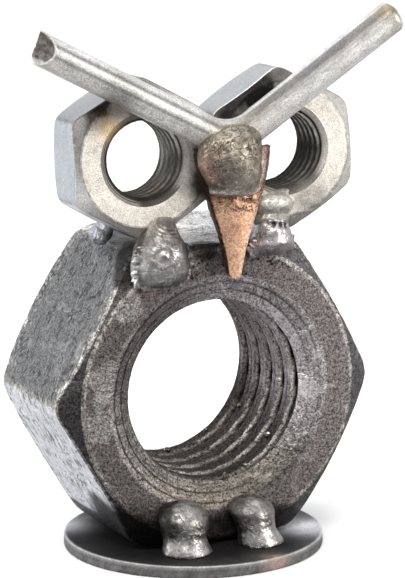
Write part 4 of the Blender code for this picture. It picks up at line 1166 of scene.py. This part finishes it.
def spatter_forms():
    """Beads in the bore where the photograph has them, and fine grit scattered round the welds."""
    bore = [(-89, 5.6, 0.42), (-57, 6.5, 0.3), (-32, 3.7, 0.3), (-40, -5.85, 0.5), (-82, -8.0, 0.42),
            (-66, -7.4, 0.28)]
    turn, depth, sizes = np.array(bore).T
    turn, radius = np.radians(turn), 10.75 - 0.1
    places = np.stack([radius * np.cos(turn), depth, BODY_CENTRE[2] + radius * np.sin(turn)], -1)
    forms = drops_form(places, sizes, (0.3, 0.28, 0.25), 111)
    random = np.random.default_rng(7)
    spread = [(3.4, 7.6, 3.0, 1.1, 40), (-5.6, 7.9, 2.6, 0.6, 16), (-9.0, 33.8, 1.8, 0.5, 16),
              (-2.6, 35.0, 2.2, 1.0, 26), (6.6, 35.0, 2.6, 0.6, 22), (-9.8, 3.4, 1.5, 1.2, 16)]
    for x, z, wide, tall, count in spread:
        at = random.normal(0, 0.6, (count, 2)) * [wide, tall] + [x, z]
        out = np.hypot(at[:, 0], at[:, 1] - BODY_CENTRE[2])
        at = at[(out > 14.3) & (out < 17.1) & (at[:, 1] < 37) & (at[:, 1] > 2.6)]
        places = np.insert(at, 1, FRONT_Y, axis=1)
        forms += drops_form(places, random.uniform(0.06, 0.17, len(at)), (0.16, 0.15, 0.14), 112)
    return forms


# Stage


def camera_pose():
    """Place and turn of the fitted camera, in metres: it looks along minus its own back direction."""
    a, e, r = (math.radians(value) for value in (CAMERA_AZIMUTH, CAMERA_ELEVATION, CAMERA_ROLL))
    back = Vector((math.sin(a) * math.cos(e), -math.cos(a) * math.cos(e), math.sin(e)))
    level = Vector((math.cos(a), math.sin(a), 0.0))
    over = back.cross(level)
    right = math.cos(r) * level + math.sin(r) * over
    up = math.cos(r) * over - math.sin(r) * level
    pose = Matrix((right, up, back)).transposed().to_4x4()
    target = right * CAMERA_AIM[0] + up * CAMERA_AIM[1] + Vector((0, 0, CAMERA_TARGET_Z))
    pose.translation = (target + back * CAMERA_DISTANCE) * MM
    return pose


def add_camera():
    """The photograph's camera, with a long lens and no blur."""
    camera = add_object("photo_camera", bpy.data.cameras.new("photo_camera"))
    camera.data.lens = CAMERA_LENS
    camera.data.clip_start, camera.data.clip_end = 0.01, 10.0
    camera.matrix_world = camera_pose()
    bpy.context.scene.camera = camera


def add_light(name, place, target, width, height, power, colour):
    """A soft area lamp at a place, turned towards a target."""
    lamp = add_object(name, bpy.data.lights.new(name, "AREA"))
    lamp.data.shape = "RECTANGLE"
    lamp.data.size, lamp.data.size_y = width, height
    lamp.data.energy = power
    lamp.data.color = colour
    way = Vector(target) - Vector(place)
    lamp.matrix_world = Matrix.Translation(place) @ way.to_track_quat("-Z", "Y").to_matrix().to_4x4()


def add_floor(settings):
    """A wide round floor just under the plate."""
    columns, rows = 96, 24
    r = settings.stage.floor_radius * np.linspace(0.02, 1, rows)[:, None] ** 1.6
    points = revolve(r, circle(columns), np.full((rows, 1), -FLOOR_DROP)).reshape(-1, 3)
    mesh = bpy.data.meshes.new("floor")
    fill_mesh(mesh, np.vstack([points, [0, 0, -FLOOR_DROP]]), np.vstack([
        grid_faces(rows, columns, False)[:, ::-1], fan_faces(np.arange(columns), rows * columns, False)]))
    mesh.materials.append(floor_finish(settings.look))
    mesh.shade_smooth()
    floor = add_object("floor", mesh)
    floor.visible_glossy = False


def add_world(stage):
    """A pale room: bright overhead, less bright on the side that the owl faces."""
    world = bpy.data.worlds.new("pale_room")
    world.use_nodes = True
    bpy.context.scene.world = world
    wiring = Wiring(world.node_tree)
    place = wiring.add("ShaderNodeTexCoord").outputs["Generated"]
    x, y, z = wiring.add("ShaderNodeSeparateXYZ", None, s0=place).outputs
    over = wiring.ramp(z, 0.0, 0.75, stage.horizon_light, stage.overhead_light)
    under = wiring.ramp(z, -0.55, -0.05, stage.low_light, 1.0)
    behind = wiring.ramp(y, 0.45, 0.85, 0.0, stage.back_light)
    height = wiring.times(over, wiring.math("MAXIMUM", under, behind))
    facing = wiring.ramp(y, -0.8, 0.1, stage.front_share, 1.0)
    side = wiring.ramp(x, -0.9, 0.9, 1.0, stage.right_share)
    background = world.node_tree.nodes["Background"]
    wiring.feed(background.inputs["Strength"], wiring.times(wiring.times(height, facing), side))
    wiring.feed(background.inputs["Color"], tuple(stage.sky_colour) + (1.0,))


# Settings that a user would change


def length(name, description, value, least=0.0):
    """Length property whose default is given in millimetres."""
    return FloatProperty(name=name, description=description, default=value * MM, min=least,
                         subtype="DISTANCE", unit="LENGTH", precision=5)


def angle(name, description, value):
    """Angle property kept in degrees."""
    return FloatProperty(name=name, description=description, default=value)


def colour(name, description, value):
    """Colour property."""
    return FloatVectorProperty(name=name, description=description, default=value, size=3, min=0.0, max=1.0,
                               subtype="COLOR")


def share(name, description, value, most=1.0):
    """Plain number from nothing to a most."""
    return FloatProperty(name=name, description=description, default=value, min=0.0, max=most)


class OwlBodySizes(PropertyGroup):
    """Sizes of the big nut."""

    across_flats: length("Across flats", "Width of the big nut over two flats", 36.0)
    across_corners: length("Across corners", "Width of the big nut over two corners", 40.6)
    height: length("Height", "Depth of the big nut along its bore", 19.0)
    face_circle: length("Face circle", "Diameter of the flat face inside the chamfer", 34.8)
    countersink: length("Countersink", "Diameter of the mouth of the bore", 28.6)
    bore: length("Bore", "Diameter over the crests of the thread", 21.4)
    pitch: length("Pitch", "Distance from one thread to the next", 3.2)
    thread_depth: length("Thread depth", "Depth of the thread", 1.24)
    edge_rounding: length("Edge rounding", "Where the rounding of an edge starts", 0.35)
    ring_step: length("Ring step", "Width of the shallow band round the mouth of the bore", 0.88)


class OwlEyeSizes(PropertyGroup):
    """Sizes of the two small nuts."""

    across_flats: length("Across flats", "Width of an eye over two flats", 17.0)
    across_corners: length("Across corners", "Width of an eye over two corners", 19.1)
    height: length("Height", "Depth of an eye along its bore", 8.0)
    face_circle: length("Face circle", "Diameter of the flat face inside the chamfer", 15.8)
    countersink: length("Countersink", "Diameter of the mouth of the bore", 10.9)
    bore: length("Bore", "Diameter over the crests of the thread", 8.8)
    pitch: length("Pitch", "Distance from one thread to the next", 1.5)
    thread_depth: length("Thread depth", "Depth of the thread", 0.65)
    edge_rounding: length("Edge rounding", "Where the rounding of an edge starts", 0.25)
    roll: angle("Roll", "Turn of the right eye about its bore, in degrees", -1.75)


class OwlRodSizes(PropertyGroup):
    """Sizes of the bent brow rod."""

    eye_height: length("Eye height", "Depth of the eyes that the rod lies in front of", 8.0)
    gap: length("Gap", "Room between the rod and the eyes", 0.3)
    diameter: length("Diameter", "Thickness of the rod", 3.9)
    corner_x: length("Corner across", "Where the arms would meet, across", 1.1, -1.0)
    corner_z: length("Corner up", "Where the arms would meet, up", 1.4, -1.0)
    left_rise: angle("Left rise", "Slope of the left arm in degrees", 28.7)
    right_rise: angle("Right rise", "Slope of the right arm in degrees", 33.1)
    bend_radius: length("Bend radius", "Radius of the bend", 5.8)
    left_length: length("Left length", "Length of the left arm to the corner", 26.2)
    right_length: length("Right length", "Length of the right arm to the corner", 24.6)
    cut_angle: angle("Cut angle", "Slope of the pinched cut at the left end in degrees", 48.0)
    cut_reach: length("Cut reach", "How far the burnt tint of the cut reaches", 2.2)
    dome_height: length("Dome height", "Height of the low dome at the right end", 0.9)


class OwlBeakSizes(PropertyGroup):
    """Sizes of the copper beak."""

    length: length("Length", "Length of the beak", 15.2)
    top_width: length("Top width", "Width at the top", 9.3)
    tip_width: length("Tip width", "Width just above the rounded tip", 1.6)
    thickness: length("Thickness", "Thickness of the strip", 1.25)
    curve_radius: length("Curve radius", "Radius that the strip is bowed to", 9.0)
    shift_x: length("Shift", "How far the beak hangs right of the middle", 1.75)
    top_height: length("Top height", "How far the top is above the middle of the eyes", 0.8)
    tilt: angle("Tilt", "Lean of the beak to one side in degrees", 1.4)


class OwlPlateSizes(PropertyGroup):
    """Sizes of the round plate."""

    diameter: length("Diameter", "Diameter of the plate", 31.0)
    thickness: length("Thickness", "Thickness of the plate", 1.5)
    edge_rounding: length("Edge rounding", "Radius of the plate's edges", 0.2)


class OwlLook(PropertyGroup):
    """Colours of the finishes."""

    body_face: colour("Body face", "Dark grainy front of the big nut", (0.16, 0.141, 0.137))
    body_flat: colour("Body flats", "Side flats of the big nut", (0.175, 0.175, 0.176))
    body_top: colour("Body top", "Top flat of the big nut", (0.62, 0.61, 0.6))
    body_low_flat_reflection: colour("Body lower flat", "Bright lower left flat", (0.86, 0.86, 0.9))
    body_cone: colour("Body chamfer", "Dark chamfer of the big nut", (0.075, 0.07, 0.07))
    body_bore: colour("Body bore", "Thread and countersink of the big nut", (0.3, 0.275, 0.27))
    zinc: colour("Zinc", "Front faces of the eyes", (0.84, 0.79, 0.72))
    zinc_flat: colour("Zinc flats", "Side flats of the eyes", (0.7, 0.72, 0.75))
    zinc_cone: colour("Zinc chamfer", "Chamfer of the eyes", (0.26, 0.25, 0.235))
    zinc_bore: colour("Zinc bore", "Threads of the left eye", (0.05, 0.044, 0.036))
    dark_bore: colour("Dark bore", "Threads of the right eye", (0.02, 0.018, 0.017))
    rod: colour("Rod", "Drawn steel of the brow", (0.74, 0.73, 0.71))
    copper: colour("Copper", "Bare copper of the beak", (0.95, 0.57, 0.38))
    weld: colour("Weld", "Set weld metal", (0.46, 0.435, 0.425))
    nose: colour("Nose weld", "Set weld metal of the nose, tinted by heat", (0.27, 0.235, 0.18))
    plate: colour("Plate", "Dark rolled plate", (0.045, 0.042, 0.044))
    plate_rim: colour("Plate rim", "Bright worn rim of the plate", (0.45, 0.44, 0.43))
    scale_metal: share("Scale metal", "How metallic the dark scale is", 0.85)
    zinc_metal: share("Zinc metal", "How metallic the zinc is", 0.55)
    plate_metal: share("Plate metal", "How metallic the sooty plate is", 0.35)
    rod_metal: share("Rod metal", "How metallic the drawn steel is", 0.72)
    copper_metal: share("Copper metal", "How metallic the copper is", 0.9)
    floor_colour: colour("Floor", "Pale floor", (0.86, 0.86, 0.86))


class OwlStage(PropertyGroup):
    """Floor and light."""

    floor_radius: length("Floor radius", "Radius of the floor", 3000.0)
    overhead_light: share("Overhead light", "Brightness of the room overhead", 1.25, 10.0)
    horizon_light: share("Horizon light", "Brightness of the room at eye level", 0.8, 10.0)
    back_light: share("Back light", "How bright the backdrop behind the owl is", 1.25, 10.0)
    low_light: share("Low light", "How bright the room is in reflections from below", 0.44)
    front_share: share("Front share", "How bright the side in front of the owl is", 0.38)
    right_share: share("Right share", "How bright the right side is", 0.85)
    sky_colour: colour("Room colour", "Tint of the room's light", (0.97, 0.98, 1.0))
    key_power: share("Front power", "Power of the lamp over the camera in watts", 2.6, 100.0)
    left_power: share("Left power", "Power of the lamp on the left in watts", 1.2, 100.0)
    right_power: share("Right power", "Power of the tall lamp at the front right in watts", 1.3, 100.0)
    top_power: share("Top power", "Power of the overhead lamp in watts", 1.1, 100.0)


class OwlSettings(PropertyGroup):
    """All sizes and colours of the owl."""

    body: PointerProperty(type=OwlBodySizes)
    eye: PointerProperty(type=OwlEyeSizes)
    rod: PointerProperty(type=OwlRodSizes)
    beak: PointerProperty(type=OwlBeakSizes)
    plate: PointerProperty(type=OwlPlateSizes)
    look: PointerProperty(type=OwlLook)
    stage: PointerProperty(type=OwlStage)


# Operators


class OWL_OT_body(Operator):
    """Build the big threaded nut"""

    bl_idname = "owl.body"
    bl_label = "Body nut"

    def execute(self, context):
        settings = context.scene.owl
        forms = [body_form(settings.body, settings.look)]
        make_piece("body_nut_piece", forms, mill_scale_finish(settings.look), ["body_nut"])
        return {"FINISHED"}


class OWL_OT_eyes(Operator):
    """Build the two zinc-plated eye nuts"""

    bl_idname = "owl.eyes"
    bl_label = "Eye nuts"

    def execute(self, context):
        settings = context.scene.owl
        look, eye = settings.look, settings.eye
        finish = zinc_finish(look)
        # The flats are lit and shaded copies of the zinc: pale flats carry a painted reflection of the bright
        # room, dim ones painted shade
        pale, dim = tuple(look.zinc_flat), (0.4, 0.4, 0.41)
        left = eye_form(
            eye, look, LEFT_EYE_CENTRE, 0.0,
            (dim, (0.4, 0.39, 0.37), (0.32, 0.33, 0.34), (0.47, 0.5, 0.53), pale, dim), look.zinc_bore,
            # The first two marks are painted shadow under the rod
            [(LEFT_EYE_CENTRE + [-5.5, -4, 6.1], 2.1, SHADE_AND_LINE_BLACK, 1.6),
             (LEFT_EYE_CENTRE + [-1.6, -4, 6.3], 2.0, (0.06, 0.05, 0.04), 1.1),
             (LEFT_EYE_CENTRE + [-4.1, -4, 3.8], 1.6, (0.78, 0.55, 0.22), 0.85),
             (LEFT_EYE_CENTRE + [7.3, -4, -2.9], 3.0, (0.05, 0.04, 0.032), 1.5),
             ((-3.9, -2.7, 47.4), 3.0, (0.62, 0.6, 0.56), 0.7),
             (LEFT_EYE_CENTRE + [7.4, -4, 2.0], 1.6, (0.12, 0.1, 0.08), 0.5),
             (LEFT_EYE_CENTRE + [1.8, -4, -7.6], 2.4, (0.3, 0.26, 0.2), 0.6)], 0.0)
        right = eye_form(
            eye, look, RIGHT_EYE_CENTRE, eye.roll,
            (pale, pale, (0.36, 0.37, 0.385), dim, dim, dim), look.dark_bore,
            [(RIGHT_EYE_CENTRE + [-2.6, -4, -6.6], 2.4, (0.3, 0.26, 0.2), 0.7),
             (RIGHT_EYE_CENTRE + [-7.4, -4, 2.6], 3.2, (0.08, 0.065, 0.05), 0.9),
             (RIGHT_EYE_CENTRE + [-6.6, -4, -1.8], 2.8, (0.12, 0.095, 0.07), 0.8),
             (RIGHT_EYE_CENTRE + [3.6, -4, -6.6], 2.8, (0.3, 0.28, 0.25), 0.9),
             ((11.2, -10.0, 42.1), 1.8, (0.3, 0.28, 0.25), 0.8),
             # The last two marks are painted shadow under the rod
             (RIGHT_EYE_CENTRE + [-3.9, -4, 7.5], 3.4, SHADE_AND_LINE_BLACK, 1.7),
             (RIGHT_EYE_CENTRE + [-7.4, -4, 5.6], 2.8, SHADE_AND_LINE_BLACK, 1.5)], 1.0)
        make_piece("left_eye_nut_piece", [left], finish, ["left_eye_nut"])
        make_piece("right_eye_nut_piece", [right], finish, ["right_eye_nut"])
        return {"FINISHED"}


class OWL_OT_brow(Operator):
    """Build the bent brow rod"""

    bl_idname = "owl.brow"
    bl_label = "Brow rod"

    def execute(self, context):
        settings = context.scene.owl
        shape, lay = rod_form(settings.rod, settings.look)
        make_piece("brow_rod_piece", [shape], drawn_steel_finish(settings.look), ["brow_rod"], lay=lay)
        return {"FINISHED"}


class OWL_OT_beak(Operator):
    """Build the copper beak"""

    bl_idname = "owl.beak"
    bl_label = "Beak"

    def execute(self, context):
        settings = context.scene.owl
        forms = [beak_form(settings.beak, settings.look)]
        make_piece("beak_piece", forms, copper_finish(settings.look), ["beak"])
        return {"FINISHED"}


class OWL_OT_welds(Operator):
    """Build the weld beads of the head and both feet"""

    bl_idname = "owl.welds"
    bl_label = "Weld beads"

    def execute(self, context):
        look = context.scene.owl.look
        finish = weld_finish()
        left_foot, right_foot = feet_forms(look)
        beads = {"nose_weld": [nose_form(look)], "left_eye_weld": [left_eye_weld_form(look)],
                 "right_eye_weld": right_eye_weld_forms(look), "back_weld": [back_weld_form()],
                 "left_foot_weld": [left_foot], "right_foot_weld": [right_foot]}
        for node, forms in beads.items():
            make_piece(node + "_piece", forms, finish, [node], sharp=60.0)
        return {"FINISHED"}


class OWL_OT_plate(Operator):
    """Build the round plate"""

    bl_idname = "owl.plate"
    bl_label = "Plate"

    def execute(self, context):
        settings = context.scene.owl
        forms = [plate_form(settings.plate, settings.look)]
        make_piece("base_plate_piece", forms, plate_finish(settings.look), ["base_plate"])
        return {"FINISHED"}


class OWL_OT_spatter(Operator):
    """Scatter small drops of weld metal on the body"""

    bl_idname = "owl.spatter"
    bl_label = "Spatter"

    def execute(self, context):
        finish = bpy.data.materials.get("weld_metal") or weld_finish()
        make_piece("weld_spatter", spatter_forms(), finish, sharp=60.0)
        return {"FINISHED"}


class OWL_OT_stage(Operator):
    """Set up the floor, the light and the camera"""

    bl_idname = "owl.stage"
    bl_label = "Stage"

    def execute(self, context):
        settings = context.scene.owl
        stage = settings.stage
        context.scene.view_settings.view_transform = "Standard"
        add_world(stage)
        target = (0.0, -0.003, 0.035)
        add_light("front_lamp", (-0.18, -0.38, 0.5), target, 0.3, 0.18, stage.key_power, (1.0, 0.98, 0.95))
        add_light("left_lamp", (-0.5, 0.16, 0.2), target, 0.22, 0.4, stage.left_power, (0.97, 0.98, 1.0))
        add_light("right_lamp", (0.34, -0.4, 0.15), target, 0.16, 0.32, stage.right_power, (1.0, 0.97, 0.93))
        add_light("top_lamp", (0.05, 0.12, 0.55), target, 0.5, 0.4, stage.top_power, (1.0, 1.0, 1.0))
        add_floor(settings)
        add_camera()
        return {"FINISHED"}


STEPS = (OWL_OT_body, OWL_OT_eyes, OWL_OT_brow, OWL_OT_beak, OWL_OT_welds, OWL_OT_plate, OWL_OT_spatter,
         OWL_OT_stage)


class OWL_PT_panel(Panel):
    """Buttons that build the owl piece by piece"""

    bl_idname = "OWL_PT_panel"
    bl_label = "Welded owl"
    bl_space_type = "VIEW_3D"
    bl_region_type = "UI"
    bl_category = "Owl"

    def draw(self, context):
        for step in STEPS:
            self.layout.operator(step.bl_idname)


GROUPS = (OwlBodySizes, OwlEyeSizes, OwlRodSizes, OwlBeakSizes, OwlPlateSizes, OwlLook, OwlStage, OwlSettings)
CLASSES = GROUPS + STEPS + (OWL_PT_panel,)


def register():
    """Make the settings, the operators and the panel known to Blender."""
    for kind in CLASSES:
        bpy.utils.register_class(kind)
    bpy.types.Scene.owl = PointerProperty(type=OwlSettings)


def unregister():
    """Take them away again."""
    del bpy.types.Scene.owl
    for kind in reversed(CLASSES):
        bpy.utils.unregister_class(kind)


def main():
    """Build every piece and the stage."""
    register()
    bpy.ops.owl.body()
    bpy.ops.owl.eyes()
    bpy.ops.owl.brow()
    bpy.ops.owl.beak()
    bpy.ops.owl.welds()
    bpy.ops.owl.plate()
    bpy.ops.owl.spatter()
    bpy.ops.owl.stage()


if __name__ == "__main__":
    main()
